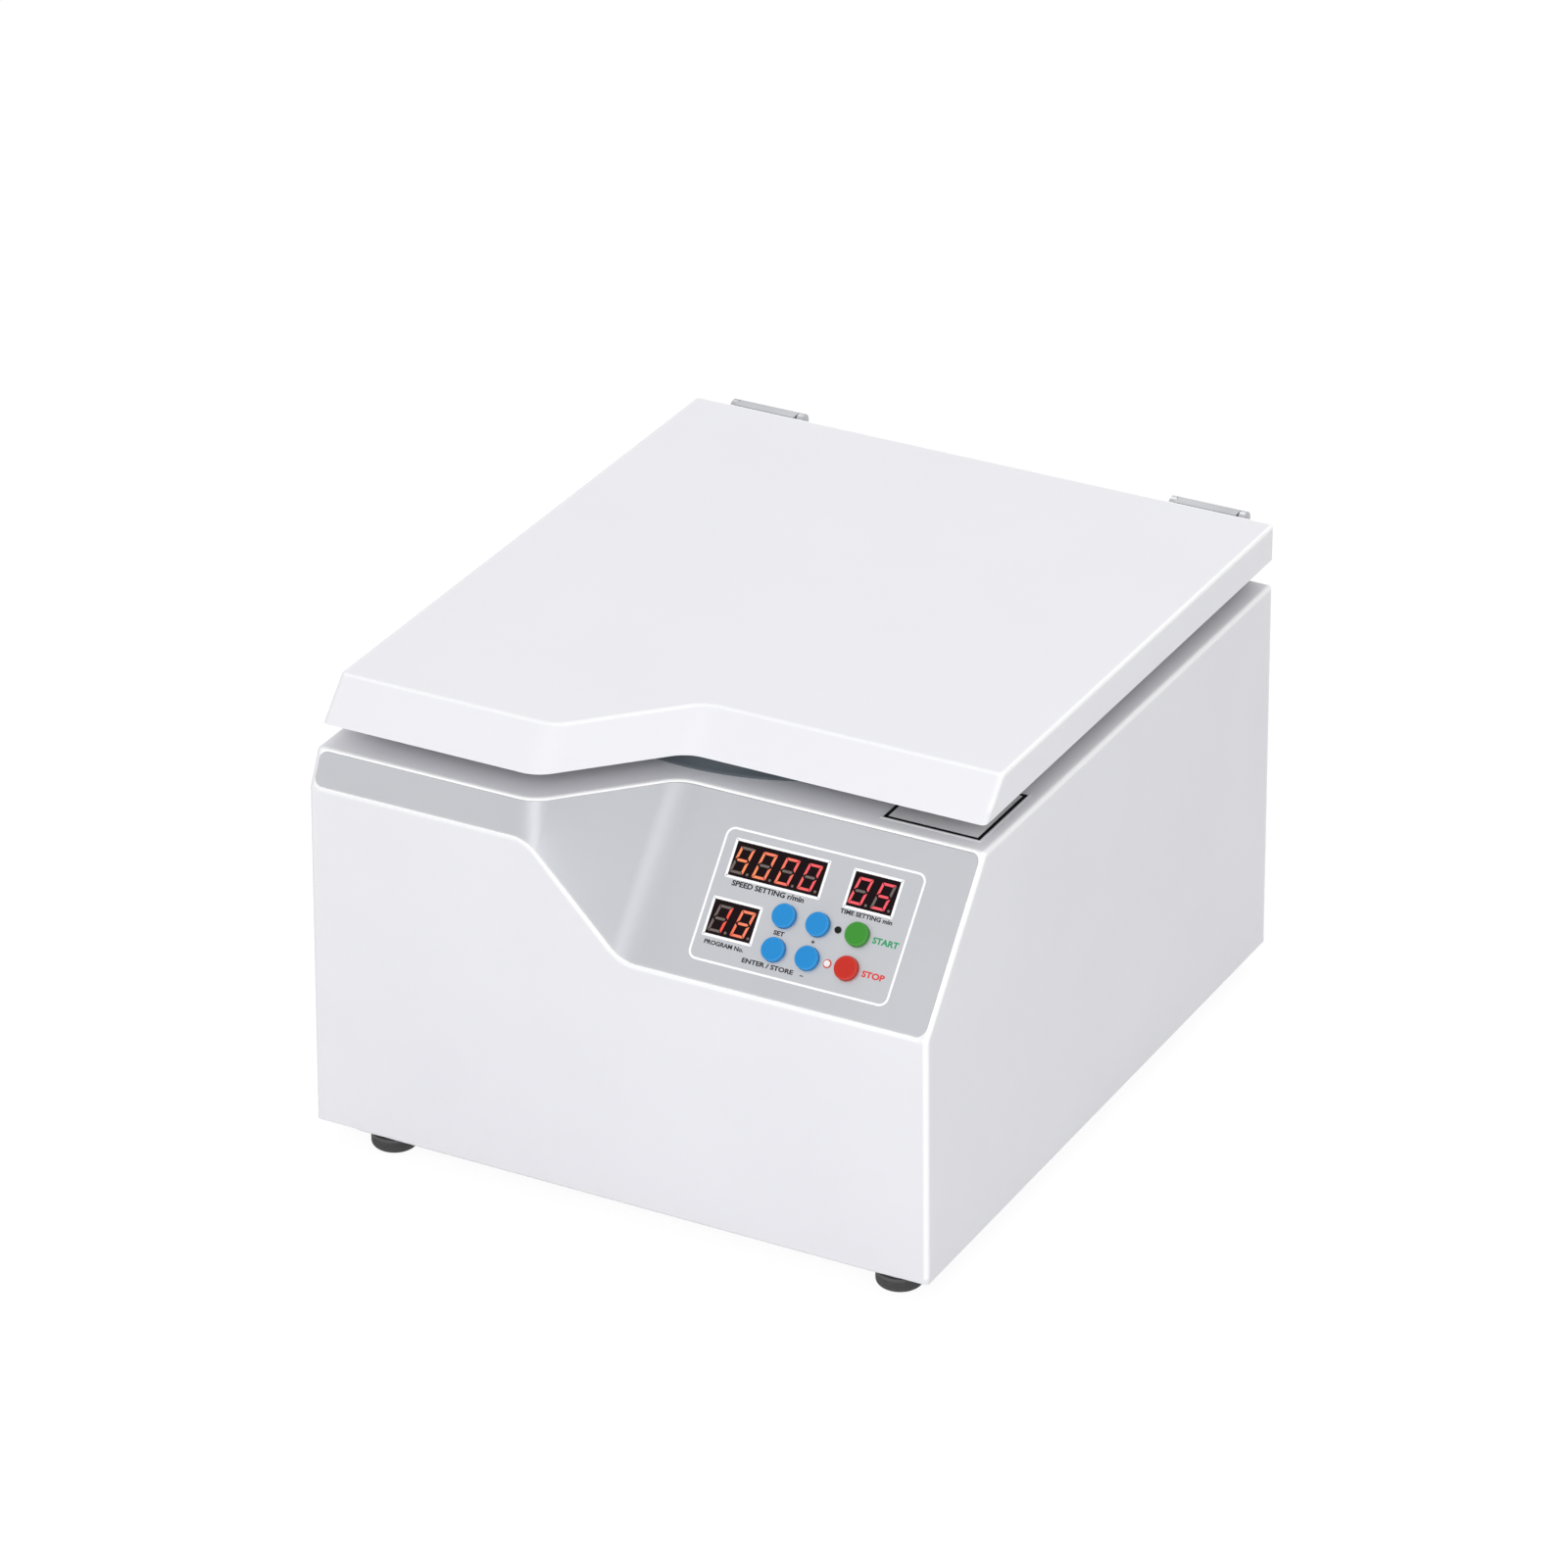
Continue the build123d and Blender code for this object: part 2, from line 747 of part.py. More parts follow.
collar_top = bowl_low + collar_height
boot_inner = shaft_radius + 2.5
boot_wall = 2.3
with BuildPart() as spindle_boot:
    add(
        turned(
            (boot_inner, motor_high),
            (boot_inner + 10, motor_high),
            (boot_inner + 10, motor_high + 3),
            (boot_inner + boot_wall, motor_high + 3),
            (boot_inner + boot_wall, collar_top - 6),
            (collar_radius - slack, collar_top - 6),
            (collar_radius - slack, collar_top),
            (collar_radius + bowl_sheet + 2, collar_top),
            (collar_radius + bowl_sheet + 2, collar_top + boot_wall),
            (collar_radius - slack - boot_wall, collar_top + boot_wall),
            (collar_radius - slack - boot_wall, collar_top - 6 + boot_wall),
            (boot_inner, collar_top - 6 + boot_wall),
        )
    )
spindle_boot.part.label = "spindle_boot"
export_step(spindle_boot.part, "parts/spindle_boot.step")

# Swing-out rotor
yoke_low = pivot_z - yoke_thickness / 2
slot_inner = pivot_circle - bucket_above * 1.5
slot_half = bucket_radius + bucket_rim + 0.5
slot_corner = 12.0
ear_slot = ear_reach + 1.5
ear_start = pivot_circle - ear_radius - 2.0
slot_length = yoke_radius
with BuildPart() as rotor_yoke:
    with Locations((0, chamber_y, yoke_low)):
        Cylinder(yoke_radius, yoke_thickness, align=low_end)
    with Locations((0, chamber_y, hub_low)):
        Cylinder(hub_radius, hub_high - hub_low, align=low_end)
    with BuildSketch(Plane.XY.offset(yoke_low)) as bucket_slots:
        with Locations((0, chamber_y)):
            with PolarLocations(slot_inner + slot_length / 2, 4):
                RectangleRounded(slot_length, 2 * slot_half, slot_corner)
            with PolarLocations(ear_start + slot_length / 2, 4):
                Rectangle(slot_length, 2 * ear_slot)
    extrude(amount=yoke_thickness, mode=Mode.SUBTRACT)
    with Locations((0, chamber_y, hub_low)):
        Cylinder(shaft_radius + fit, shoulder_z - hub_low, align=low_end, mode=Mode.SUBTRACT)
        Cylinder(thread_radius + fit, hub_high - hub_low, align=low_end, mode=Mode.SUBTRACT)
    for turn in range(4):
        across = Plane(spin_plane.origin + Vector(0, 0, pivot_z)).rotated((0, 0, 90 * turn))
        with Locations(across):
            with Locations((pivot_circle, 0, 0)):
                Cylinder(
                    trunnion_radius + fit,
                    2 * (ear_reach - 5 + trunnion_length),
                    rotation=along_y,
                    mode=Mode.SUBTRACT,
                )
rotor_yoke.part.label = "rotor_yoke"
export_step(rotor_yoke.part, "parts/rotor_yoke.step")

pin_start = ear_reach - 5.0
with BuildPart() as trunnion_pins:
    for turn in range(4):
        across = Plane(spin_plane.origin + Vector(0, 0, pivot_z)).rotated((0, 0, 90 * turn))
        with Locations(across):
            for side in (-1, 1):
                with Locations((pivot_circle, side * (pin_start + trunnion_length / 2), 0)):
                    Cylinder(trunnion_radius, trunnion_length, rotation=along_y)
trunnion_pins.part.label = "trunnion_pins"
export_step(trunnion_pins.part, "parts/trunnion_pins.step")

with BuildPart() as rotor_nut:
    with BuildSketch(Plane.XY.offset(hub_high)):
        with Locations((0, chamber_y)):
            RegularPolygon(nut_radius, 6)
    extrude(amount=nut_height)
    with Locations((0, chamber_y, hub_high)):
        Cylinder(thread_radius + fit, nut_height - 0.8, align=low_end, mode=Mode.SUBTRACT)
rotor_nut.part.label = "rotor_nut"
export_step(rotor_nut.part, "parts/rotor_nut.step")


# Buckets, each built about its own pivot with X pointing away from the shaft
def bucket(turn):
    """One bucket with its two open-bottomed ears, and the cushion inside it."""
    angle = radians(90 * turn)
    away = (cos(angle), sin(angle), 0)
    centre = Vector(0, chamber_y, pivot_z) + Vector(*away) * pivot_circle
    place = Plane(origin=centre, x_dir=away, z_dir=(0, 0, 1))
    inner = bucket_radius - bucket_wall
    notch = 2 * (trunnion_radius + 1.2 * fit)
    notch_start = ear_reach - 5.3
    with BuildPart(place) as cup:
        with Locations((0, 0, -bucket_below)):
            Cylinder(bucket_radius, bucket_below + bucket_above, align=low_end)
        fillet(cup.faces().sort_by(Axis.Z)[0].edges(), bucket_round)
        with Locations((0, 0, bucket_above)):
            Cylinder(bucket_radius + bucket_rim, 3, align=high_end)
        Cylinder(ear_radius, 2 * ear_reach, rotation=along_y)
        with Locations((0, 0, bucket_floor - bucket_below)):
            Cylinder(inner, bucket_below + bucket_above, align=low_end, mode=Mode.SUBTRACT)
        for side in (-1, 1):
            with Locations((0, side * (notch_start + ear_reach + 1) / 2, 0)):
                Cylinder(
                    notch / 2, ear_reach + 1 - notch_start, rotation=along_y, mode=Mode.SUBTRACT
                )
                Box(
                    notch,
                    ear_reach + 1 - notch_start,
                    2 * ear_radius,
                    align=(Align.CENTER, Align.CENTER, Align.MAX),
                    mode=Mode.SUBTRACT,
                )
    cup.part.label = f"bucket_{turn + 1}"
    export_step(cup.part, f"parts/bucket_{turn + 1}.step")
    with BuildPart(place) as cushion:
        with Locations((0, 0, bucket_floor - bucket_below)):
            Cylinder(inner - slack, cushion_height, align=low_end)
    cushion.part.label = f"bucket_cushion_{turn + 1}"
    export_step(cushion.part, f"parts/bucket_cushion_{turn + 1}.step")


for turn in range(4):
    bucket(turn)


# Lid
def lid_front(offset_y, height):
    """Front edges and bends of the lid's plan at a height, moved back by offset_y."""
    rise = (height - lid_low) / lid_thickness
    step = lid_front_right - lid_front_left
    slide = offset_y * tan(atan2(step, lid_step_right - lid_step_left) / 2)
    left = front_y + lid_front_left + lid_lean * rise + offset_y
    right = front_y + lid_front_right + lid_lean * rise + offset_y
    return left, right, lid_step_left - slide, lid_step_right - slide


def lid_outline(inset, height, corner):
    """Face of the lid's plan at a height, with its walls moved in by inset."""
    front_inset = inset * hypot(lid_thickness, lid_lean) / lid_thickness
    left, right, bend_left, bend_right = lid_front(front_inset, height)
    half = lid_width / 2 - inset
    back = lid_rear - inset
    with BuildSketch(Plane.XY.offset(height)) as plan:
        with BuildLine():
            FilletPolyline(
                (-half, left),
                (bend_left, left),
                (bend_right, right),
                (half, right),
                (half, back),
                (-half, back),
                radius=[corner, step_round, step_round, corner, corner, corner],
                close=True,
            )
        make_face()
    return plan.sketch.face()


def lid_block(inset, low, high, corner):
    """Block with the lid's plan and its leaning front between two heights."""
    with BuildPart() as block:
        loft([lid_outline(inset, low, corner), lid_outline(inset, high, corner)], ruled=True)
    return block.part


# Screws of the lid's liner. Those beside the chamber are halfway from its seal to the liner's edge
lid_screw_x = lid_width / 2 - lid_screw_inset
middle_screw_x = (seal_outer + lid_width / 2 - liner_inset) / 2
lid_screw_spots = [
    (-lid_screw_x, front_y + front_screw_left),
    (lid_screw_x, front_y + front_screw_right),
    (-middle_screw_x, chamber_y),
    (middle_screw_x, chamber_y),
    (-lid_screw_x, rear_y - rear_screw_inset),
    (lid_screw_x, rear_y - rear_screw_inset),
]
striker_screw_y = tongue_y + 6.5
striker_screw_spots = [(lock_x - 7, striker_screw_y), (lock_x + 7, striker_screw_y)]
boss_radius = 5.0
liner_top = liner_low + liner_sheet
leaf_screw_z = lid_low + 6.0

with BuildPart() as lid_shell:
    add(lid_block(0, lid_low, lid_high, lid_corner))
    fillet(lid_shell.faces().sort_by(Axis.Z)[-1].edges(), lid_edge)
    add(lid_block(lid_wall, lid_low, lid_high - lid_wall, lid_corner), mode=Mode.SUBTRACT)
    with Locations(*[(x, y, liner_top) for x, y in lid_screw_spots + striker_screw_spots]):
        Cylinder(boss_radius, lid_high - lid_wall / 2 - liner_top, align=low_end)
        Cylinder(small_screw_radius + fit, 9, align=low_end, mode=Mode.SUBTRACT)
    for x in hinge_spots:
        with BuildSketch(Plane.XZ.offset(-lid_rear)):
            with Locations((x - leaf_screw_shift, leaf_screw_z), (x + leaf_screw_shift, leaf_screw_z)):
                Circle(small_screw_radius + fit)
        extrude(amount=lid_wall, mode=Mode.SUBTRACT)
lid_shell.part.label = "lid_shell"
export_step(lid_shell.part, "parts/lid_shell.step")

with BuildPart() as lid_liner:
    add(lid_block(liner_inset, liner_low, liner_top + liner_rim, liner_corner))
    add(
        lid_block(liner_inset + liner_sheet, liner_top, liner_top + liner_rim, liner_corner),
        mode=Mode.SUBTRACT,
    )
    with Locations(*[(x, y, liner_low) for x, y in lid_screw_spots + striker_screw_spots]):
        Cylinder(small_screw_radius + fit, liner_sheet, align=low_end, mode=Mode.SUBTRACT)
lid_liner.part.label = "lid_liner"
export_step(lid_liner.part, "parts/lid_liner.step")

liner_screw = pan_screw(small_screw_radius, 9.0, small_head, small_head_height)
with BuildPart() as liner_screws:
    for x, y in lid_screw_spots:
        with Locations(Plane(origin=(x, y, liner_low), z_dir=(0, 0, -1))):
            add(liner_screw)
    for x, y in striker_screw_spots:
        with Locations(Plane(origin=(x, y, liner_low - hinge_sheet), z_dir=(0, 0, -1))):
            add(liner_screw)
liner_screws.part.label = "liner_screws"
export_step(liner_screws.part, "parts/liner_screws.step")

# Striker on the lid
tongue_low = liner_low - tongue_reach
bolt_z = tongue_low + 10.0
with BuildPart() as lid_striker:
    with Locations((lock_x, tongue_y - tongue_sheet / 2, liner_low)):
        Box(
            tongue_width + 10,
            14,
            hinge_sheet,
            align=(Align.CENTER, Align.MIN, Align.MAX),
        )
        Box(tongue_width, tongue_sheet, tongue_reach, align=(Align.CENTER, Align.MIN, Align.MAX))
    with Locations((lock_x, tongue_y, bolt_z)):
        Box(2 * bolt_radius + 2, 2 * tongue_sheet, 2 * bolt_radius + 4, mode=Mode.SUBTRACT)
    with Locations(*[(x, y, liner_low) for x, y in striker_screw_spots]):
        Cylinder(small_screw_radius + fit, 3 * hinge_sheet, mode=Mode.SUBTRACT)
lid_striker.part.label = "lid_striker"
export_step(lid_striker.part, "parts/lid_striker.step")

# Lock under the deck
housing_wall = 10.0
housing_front = tongue_y - slot_front - housing_wall + 1
housing_back = tongue_y + slot_back + 14.0
housing_low = tongue_low - 7.0
with BuildPart() as latch_housing:
    with Locations((lock_x, housing_front, deck_under)):
        Box(
            2 * (slot_width / 2 + housing_wall),
            housing_back - housing_front,
            deck_under - housing_low,
            align=(Align.CENTER, Align.MIN, Align.MAX),
        )
    with Locations((lock_x, tongue_y - slot_front, deck_under)):
        Box(
            slot_width,
            slot_front + slot_back,
            deck_under - housing_low - 4,
            align=(Align.CENTER, Align.MIN, Align.MAX),
            mode=Mode.SUBTRACT,
        )
    with Locations((lock_x, housing_back, bolt_z)):
        Cylinder(
            bolt_radius + 1.6 * fit,
            housing_back - tongue_y,
            rotation=along_y,
            align=(Align.CENTER, Align.CENTER, Align.MIN),
            mode=Mode.SUBTRACT,
        )
latch_housing.part.label = "latch_housing"
export_step(latch_housing.part, "parts/latch_housing.step")

with BuildPart() as latch_coil:
    with Locations((lock_x, housing_back + coil_length, bolt_z)):
        Cylinder(coil_radius, coil_length, rotation=along_y, align=low_end)
        Cylinder(
            plunger_radius + 1.6 * fit,
            coil_length,
            rotation=along_y,
            align=low_end,
            mode=Mode.SUBTRACT,
        )
latch_coil.part.label = "latch_coil"
export_step(latch_coil.part, "parts/latch_coil.step")

bolt_tip = tongue_y + tongue_sheet / 2 + 2.5
bolt_end = housing_back - 2.0
with BuildPart() as latch_bolt:
    with Locations((lock_x, bolt_end, bolt_z)):
        Cylinder(bolt_radius, bolt_end - bolt_tip, rotation=along_y, align=low_end)
    with Locations((lock_x, housing_back + coil_length - 5, bolt_z)):
        Cylinder(
            plunger_radius,
            housing_back + coil_length - 5 - bolt_end,
            rotation=along_y,
            align=low_end,
        )
latch_bolt.part.label = "latch_bolt"
export_step(latch_bolt.part, "parts/latch_bolt.step")

# Hinges
long_knuckle = hinge_length - 2 * fixed_knuckle - 2 * slack
with BuildPart() as lid_hinge_leaves:
    for x in hinge_spots:
        with Locations((x, hinge_y, hinge_z)):
            Cylinder(knuckle_radius, long_knuckle, rotation=along_x)
        with Locations((x, lid_rear, lid_low + 1)):
            Box(
                long_knuckle,
                hinge_sheet,
                hinge_z + knuckle_radius - lid_low - 1,
                align=(Align.CENTER, Align.MIN, Align.MIN),
            )
        with Locations((x, lid_rear, hinge_z + knuckle_radius)):
            Box(
                long_knuckle,
                hinge_y - lid_rear,
                hinge_sheet,
                align=(Align.CENTER, Align.MIN, Align.MAX),
            )
        with Locations((x, hinge_y, hinge_z)):
            Cylinder(
                hinge_pin_radius + fit, hinge_length, rotation=along_x, mode=Mode.SUBTRACT
            )
        with Locations(
            (x - leaf_screw_shift, lid_rear, leaf_screw_z),
            (x + leaf_screw_shift, lid_rear, leaf_screw_z),
        ):
            Cylinder(
                small_screw_radius + fit, 4 * hinge_sheet, rotation=along_y, mode=Mode.SUBTRACT
            )
lid_hinge_leaves.part.label = "lid_hinge_leaves"
export_step(lid_hinge_leaves.part, "parts/lid_hinge_leaves.step")

leaf_back = lid_rear + hinge_back
leaf_turn = deck_z - 1.0
with BuildPart() as fixed_hinge_leaves:
    for x in hinge_spots:
        for side in (-1, 1):
            knuckle_x = x + side * (hinge_length - fixed_knuckle) / 2
            with Locations((knuckle_x, hinge_y, hinge_z)):
                Cylinder(knuckle_radius, fixed_knuckle, rotation=along_x)
            with Locations((knuckle_x, leaf_back, leaf_turn - hinge_sheet)):
                Box(
                    fixed_knuckle,
                    hinge_sheet,
                    hinge_z - leaf_turn + hinge_sheet,
                    align=(Align.CENTER, Align.MAX, Align.MIN),
                )
        with Locations((x, leaf_back, leaf_turn - hinge_sheet)):
            Box(
                hinge_length,
                hinge_sheet,
                hinge_z - knuckle_radius - 1.5 - leaf_turn + hinge_sheet,
                align=(Align.CENTER, Align.MAX, Align.MIN),
            )
            Box(
                hinge_length,
                leaf_back - rear_y,
                hinge_sheet,
                align=(Align.CENTER, Align.MAX, Align.MIN),
            )
        with Locations((x, rear_y, leaf_turn)):
            Box(
                hinge_length,
                hinge_sheet,
                leaf_on_wall,
                align=(Align.CENTER, Align.MIN, Align.MAX),
            )
        with Locations((x, hinge_y, hinge_z)):
            Cylinder(
                hinge_pin_radius + fit / 2, 2 * hinge_length, rotation=along_x, mode=Mode.SUBTRACT
            )
        with Locations(
            (x - leaf_screw_shift, rear_y, wall_screw_z),
            (x + leaf_screw_shift, rear_y, wall_screw_z),
        ):
            Cylinder(screw_radius + fit, 4 * hinge_sheet, rotation=along_y, mode=Mode.SUBTRACT)
fixed_hinge_leaves.part.label = "fixed_hinge_leaves"
export_step(fixed_hinge_leaves.part, "parts/fixed_hinge_leaves.step")

with BuildPart() as hinge_pins:
    for x in hinge_spots:
        with Locations((x, hinge_y, hinge_z)):
            Cylinder(hinge_pin_radius, hinge_length + 0.6, rotation=along_x)
hinge_pins.part.label = "hinge_pins"
export_step(hinge_pins.part, "parts/hinge_pins.step")

leaf_screw = pan_screw(small_screw_radius, 5.5, small_head, small_head_height)
with BuildPart() as lid_leaf_screws:
    for x in hinge_spots:
        for shift in (-leaf_screw_shift, leaf_screw_shift):
            spot = (x + shift, lid_rear + hinge_sheet, leaf_screw_z)
            with Locations(Plane(origin=spot, z_dir=(0, 1, 0))):
                add(leaf_screw)
lid_leaf_screws.part.label = "lid_leaf_screws"
export_step(lid_leaf_screws.part, "parts/lid_leaf_screws.step")

with BuildPart() as fixed_leaf_screws:
    for x in hinge_spots:
        for shift in (-leaf_screw_shift, leaf_screw_shift):
            spot = (x + shift, rear_y + hinge_sheet, wall_screw_z)
            with Locations(Plane(origin=spot, z_dir=(0, 1, 0))):
                add(case_screw)
fixed_leaf_screws.part.label = "fixed_leaf_screws"
export_step(fixed_leaf_screws.part, "parts/fixed_leaf_screws.step")

# Bare label on the deck, between the seal and the right edge
label_y = front_y + label_back
seal_half = (seal_outer**2 - (chamber_y - label_y - label_length / 2) ** 2) ** 0.5
label_right = deck_width / 2 - label_inset
label_width = label_right - seal_half - label_gap
with BuildPart() as deck_label:
    with BuildSketch(Plane.XY.offset(deck_z)):
        with Locations((label_right - label_width / 2, label_y)):
            Rectangle(label_width, label_length)
    extrude(amount=label_sheet)
deck_label.part.label = "deck_label"
export_step(deck_label.part, "parts/deck_label.step")

# Drive board, on spacers on the pan
drive_size = (64.0, 42.0)
drive_gap = 3.5
drive_spot = (
    -pan_half + pan_sheet + drive_gap + drive_size[0] / 2,
    rear_y - pan_gap_end - pan_sheet - drive_gap - drive_size[1] / 2,
)
drive_lift = 8.0
drive_top = pan_top + drive_lift + board_sheet
with BuildPart() as drive_board:
    with BuildSketch(Plane.XY.offset(pan_top + drive_lift)):
        with Locations(drive_spot):
            Rectangle(*drive_size)
    extrude(amount=board_sheet)
    with Locations((drive_spot[0] - 18, drive_spot[1], drive_top)):
        Box(24, 20, 22, align=low_end)
    with Locations((drive_spot[0] + 4, drive_spot[1] - 8, drive_top)):
        Cylinder(6, 20, align=low_end)
    with Locations((drive_spot[0] + 4, drive_spot[1] + 8, drive_top)):
        Cylinder(6, 20, align=low_end)
    with Locations((drive_spot[0] + 22, drive_spot[1], drive_top)):
        Box(3, 34, 30, align=low_end)
        with GridLocations(0, 8, 1, 4):
            Box(12, 2, 30, align=low_end)
drive_board.part.label = "drive_board"
export_step(drive_board.part, "parts/drive_board.step")

with BuildPart() as board_spacers:
    with BuildSketch(panel_plane.offset(-board_depth)):
        with Locations(board_centre):
            with GridLocations(*spacer_grid, 2, 2):
                Circle(spacer_radius)
    extrude(amount=board_depth - cabinet_wall)
    with BuildSketch(Plane.XY.offset(pan_top)):
        with Locations(drive_spot):
            with GridLocations(drive_size[0] - 8, drive_size[1] - 8, 2, 2):
                Circle(spacer_radius)
    extrude(amount=drive_lift)
board_spacers.part.label = "board_spacers"
export_step(board_spacers.part, "parts/board_spacers.step")

# Rear panel with its vents, mains inlet and power switch
inlet_width = 27.8
inlet_height = 20.2
frame_width = 13.0
frame_height = 19.0
with BuildPart() as rear_panel:
    with BuildSketch(Plane.XZ.offset(-rear_y)):
        with Locations((0, (panel_low + panel_high) / 2)):
            Rectangle(
                2 * (panel_half + panel_rebate - slack),
                panel_high - panel_low + 2 * (panel_rebate - slack),
            )
        with Locations(*rear_screw_spots):
            Circle(screw_radius + fit, mode=Mode.SUBTRACT)
        with Locations((inlet_x, socket_z)):
            Rectangle(inlet_width + slack, inlet_height + slack, mode=Mode.SUBTRACT)
        with Locations((switch_x, socket_z)):
            Rectangle(frame_width + slack, frame_height + slack, mode=Mode.SUBTRACT)
        with Locations((-60, (panel_low + panel_high) / 2)):
            with GridLocations(10, 0, 10, 1):
                SlotOverall(rear_slot, 5, rotation=90, mode=Mode.SUBTRACT)
    extrude(amount=panel_sheet)
rear_panel.part.label = "rear_panel"
export_step(rear_panel.part, "parts/rear_panel.step")

socket_depth = 17.0
inlet_flange = 2.0
with BuildPart() as power_inlet:
    with BuildSketch(Plane.XZ.offset(-rear_y)):
        with Locations((inlet_x, socket_z)):
            RectangleRounded(inlet_width + 7, inlet_height + 7, 3)
    extrude(amount=-inlet_flange)
    with BuildSketch(Plane.XZ.offset(-rear_y)):
        with Locations((inlet_x, socket_z)):
            Rectangle(inlet_width, inlet_height)
    extrude(amount=28)
    with BuildSketch(Plane.XZ.offset(-rear_y - inlet_flange)) as mouth:
        with Locations((inlet_x, socket_z)):
            Rectangle(24.4, 16.8)
        chamfer(mouth.vertices().group_by(Axis.Z)[-1], 4)
    extrude(amount=socket_depth, mode=Mode.SUBTRACT)
power_inlet.part.label = "power_inlet"
export_step(power_inlet.part, "parts/power_inlet.step")

pin_root = rear_y + inlet_flange - socket_depth
with BuildPart() as inlet_pins:
    with Locations(
        (inlet_x - 7, pin_root, socket_z - 2),
        (inlet_x + 7, pin_root, socket_z - 2),
        (inlet_x, pin_root, socket_z + 2.5),
    ):
        Box(2, 12, 4.5, align=(Align.CENTER, Align.MIN, Align.CENTER))
inlet_pins.part.label = "inlet_pins"
export_step(inlet_pins.part, "parts/inlet_pins.step")

bezel = 1.5
rocker_y = rear_y - 2.0
rocker_half = 8.0
pocket_width = 11.4
with BuildPart() as switch_frame:
    with BuildSketch(Plane.XZ.offset(-rear_y)):
        with Locations((switch_x, socket_z)):
            Rectangle(frame_width + 2.5, frame_height + 2.5)
    extrude(amount=-bezel)
    with BuildSketch(Plane.XZ.offset(-rear_y)):
        with Locations((switch_x, socket_z)):
            Rectangle(frame_width, frame_height)
    extrude(amount=20)
    with BuildSketch(Plane.XZ.offset(-rear_y - bezel)):
        with Locations((switch_x, socket_z)):
            Rectangle(pocket_width, 2 * rocker_half + 1.8)
    extrude(amount=bezel + 8.2, mode=Mode.SUBTRACT)
    with Locations((switch_x, rocker_y, socket_z)):
        Cylinder(1.2 + fit, frame_width - 0.4, rotation=along_x, mode=Mode.SUBTRACT)
switch_frame.part.label = "switch_frame"
export_step(switch_frame.part, "parts/switch_frame.step")

tilt = radians(rocker_tilt)
rocker_plane = Plane(
    origin=(switch_x, rocker_y, socket_z), x_dir=(0, sin(tilt), cos(tilt)), z_dir=(-1, 0, 0)
)
with BuildPart() as power_rocker:
    with BuildSketch(rocker_plane):
        with BuildLine():
            Polyline(
                (-rocker_half, -4),
                (rocker_half, -4),
                (rocker_half, 4.5),
                (0, 2.5),
                (-rocker_half, 4.5),
                close=True,
            )
        make_face()
    extrude(amount=pocket_width / 2 - slack, both=True)
    with Locations((switch_x, rocker_y, socket_z)):
        Cylinder(1.2, frame_width - 1, rotation=along_x)
power_rocker.part.label = "power_rocker"
export_step(power_rocker.part, "parts/power_rocker.step")
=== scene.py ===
import math

import bpy
from mathutils import Matrix, Vector


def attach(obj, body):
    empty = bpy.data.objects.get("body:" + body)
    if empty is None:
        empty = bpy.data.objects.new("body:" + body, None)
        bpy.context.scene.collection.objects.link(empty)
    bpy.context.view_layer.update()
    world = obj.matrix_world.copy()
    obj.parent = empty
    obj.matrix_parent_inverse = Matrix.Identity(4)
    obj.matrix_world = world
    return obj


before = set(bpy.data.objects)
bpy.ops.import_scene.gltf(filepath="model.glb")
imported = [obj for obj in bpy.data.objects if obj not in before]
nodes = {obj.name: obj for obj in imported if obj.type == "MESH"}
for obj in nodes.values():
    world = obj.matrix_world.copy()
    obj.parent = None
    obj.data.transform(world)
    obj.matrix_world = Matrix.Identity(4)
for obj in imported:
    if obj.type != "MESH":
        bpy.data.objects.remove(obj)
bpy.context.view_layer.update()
bpy.ops.object.select_all(action="DESELECT")

MM = 0.001
X_AXIS = Vector((1, 0, 0))

# Places in mm that the part has too: its front and rear, the deck, the slanted panel, the shaft
FRONT_Y = -211.0
REAR_Y = 195.0
DECK_Z = 229.0
PANEL_RUN = 64.5
PANEL_DROP = 75.5
SHAFT_Y = 5.0

# Faces of the film and of the displays, in mm above the panel's plane
FILM_FACE = -0.1
DISPLAY_FACE = -0.2

panel_out = Vector((0, -PANEL_DROP, PANEL_RUN)).normalized()
panel_up = panel_out.cross(X_AXIS)


def laid(axes, spot):
    """Matrix whose columns are three axes and a place in metres."""
    rows = [(*[axis[i] for axis in axes], spot[i]) for i in range(3)]
    return Matrix(rows + [(0, 0, 0, 1)])


def on_panel(x, up, lift):
    """Matrix that lays a flat piece on the slanted panel, up mm from its foot."""
    foot = Vector((0, FRONT_Y, DECK_Z - PANEL_DROP))
    spot = (foot + X_AXIS * x + panel_up * up + panel_out * lift) * MM
    return laid((X_AXIS, panel_up, panel_out), spot)


def on_deck(x, y, lift):
    """Matrix that lays a flat piece on the deck, lift mm above it."""
    return Matrix.Translation(Vector((x, y, DECK_Z + lift)) * MM)


# Shared effects, each built once and placed in the materials with its own values
def effect(name, inputs, outputs):
    """Empty shader node group with named sockets."""
    group = bpy.data.node_groups.new(name, "ShaderNodeTree")
    for socket, kind, value in inputs:
        made = group.interface.new_socket(name=socket, in_out="INPUT", socket_type=kind)
        made.default_value = value
    for socket, kind in outputs:
        group.interface.new_socket(name=socket, in_out="OUTPUT", socket_type=kind)
    entry = group.nodes.new("NodeGroupInput")
    leave = group.nodes.new("NodeGroupOutput")
    return group, entry, leave


def add(tree, kind, **settings):
    """New node with its properties set by name."""
    node = tree.nodes.new(kind)
    for name, value in settings.items():
        setattr(node, name, value)
    return node


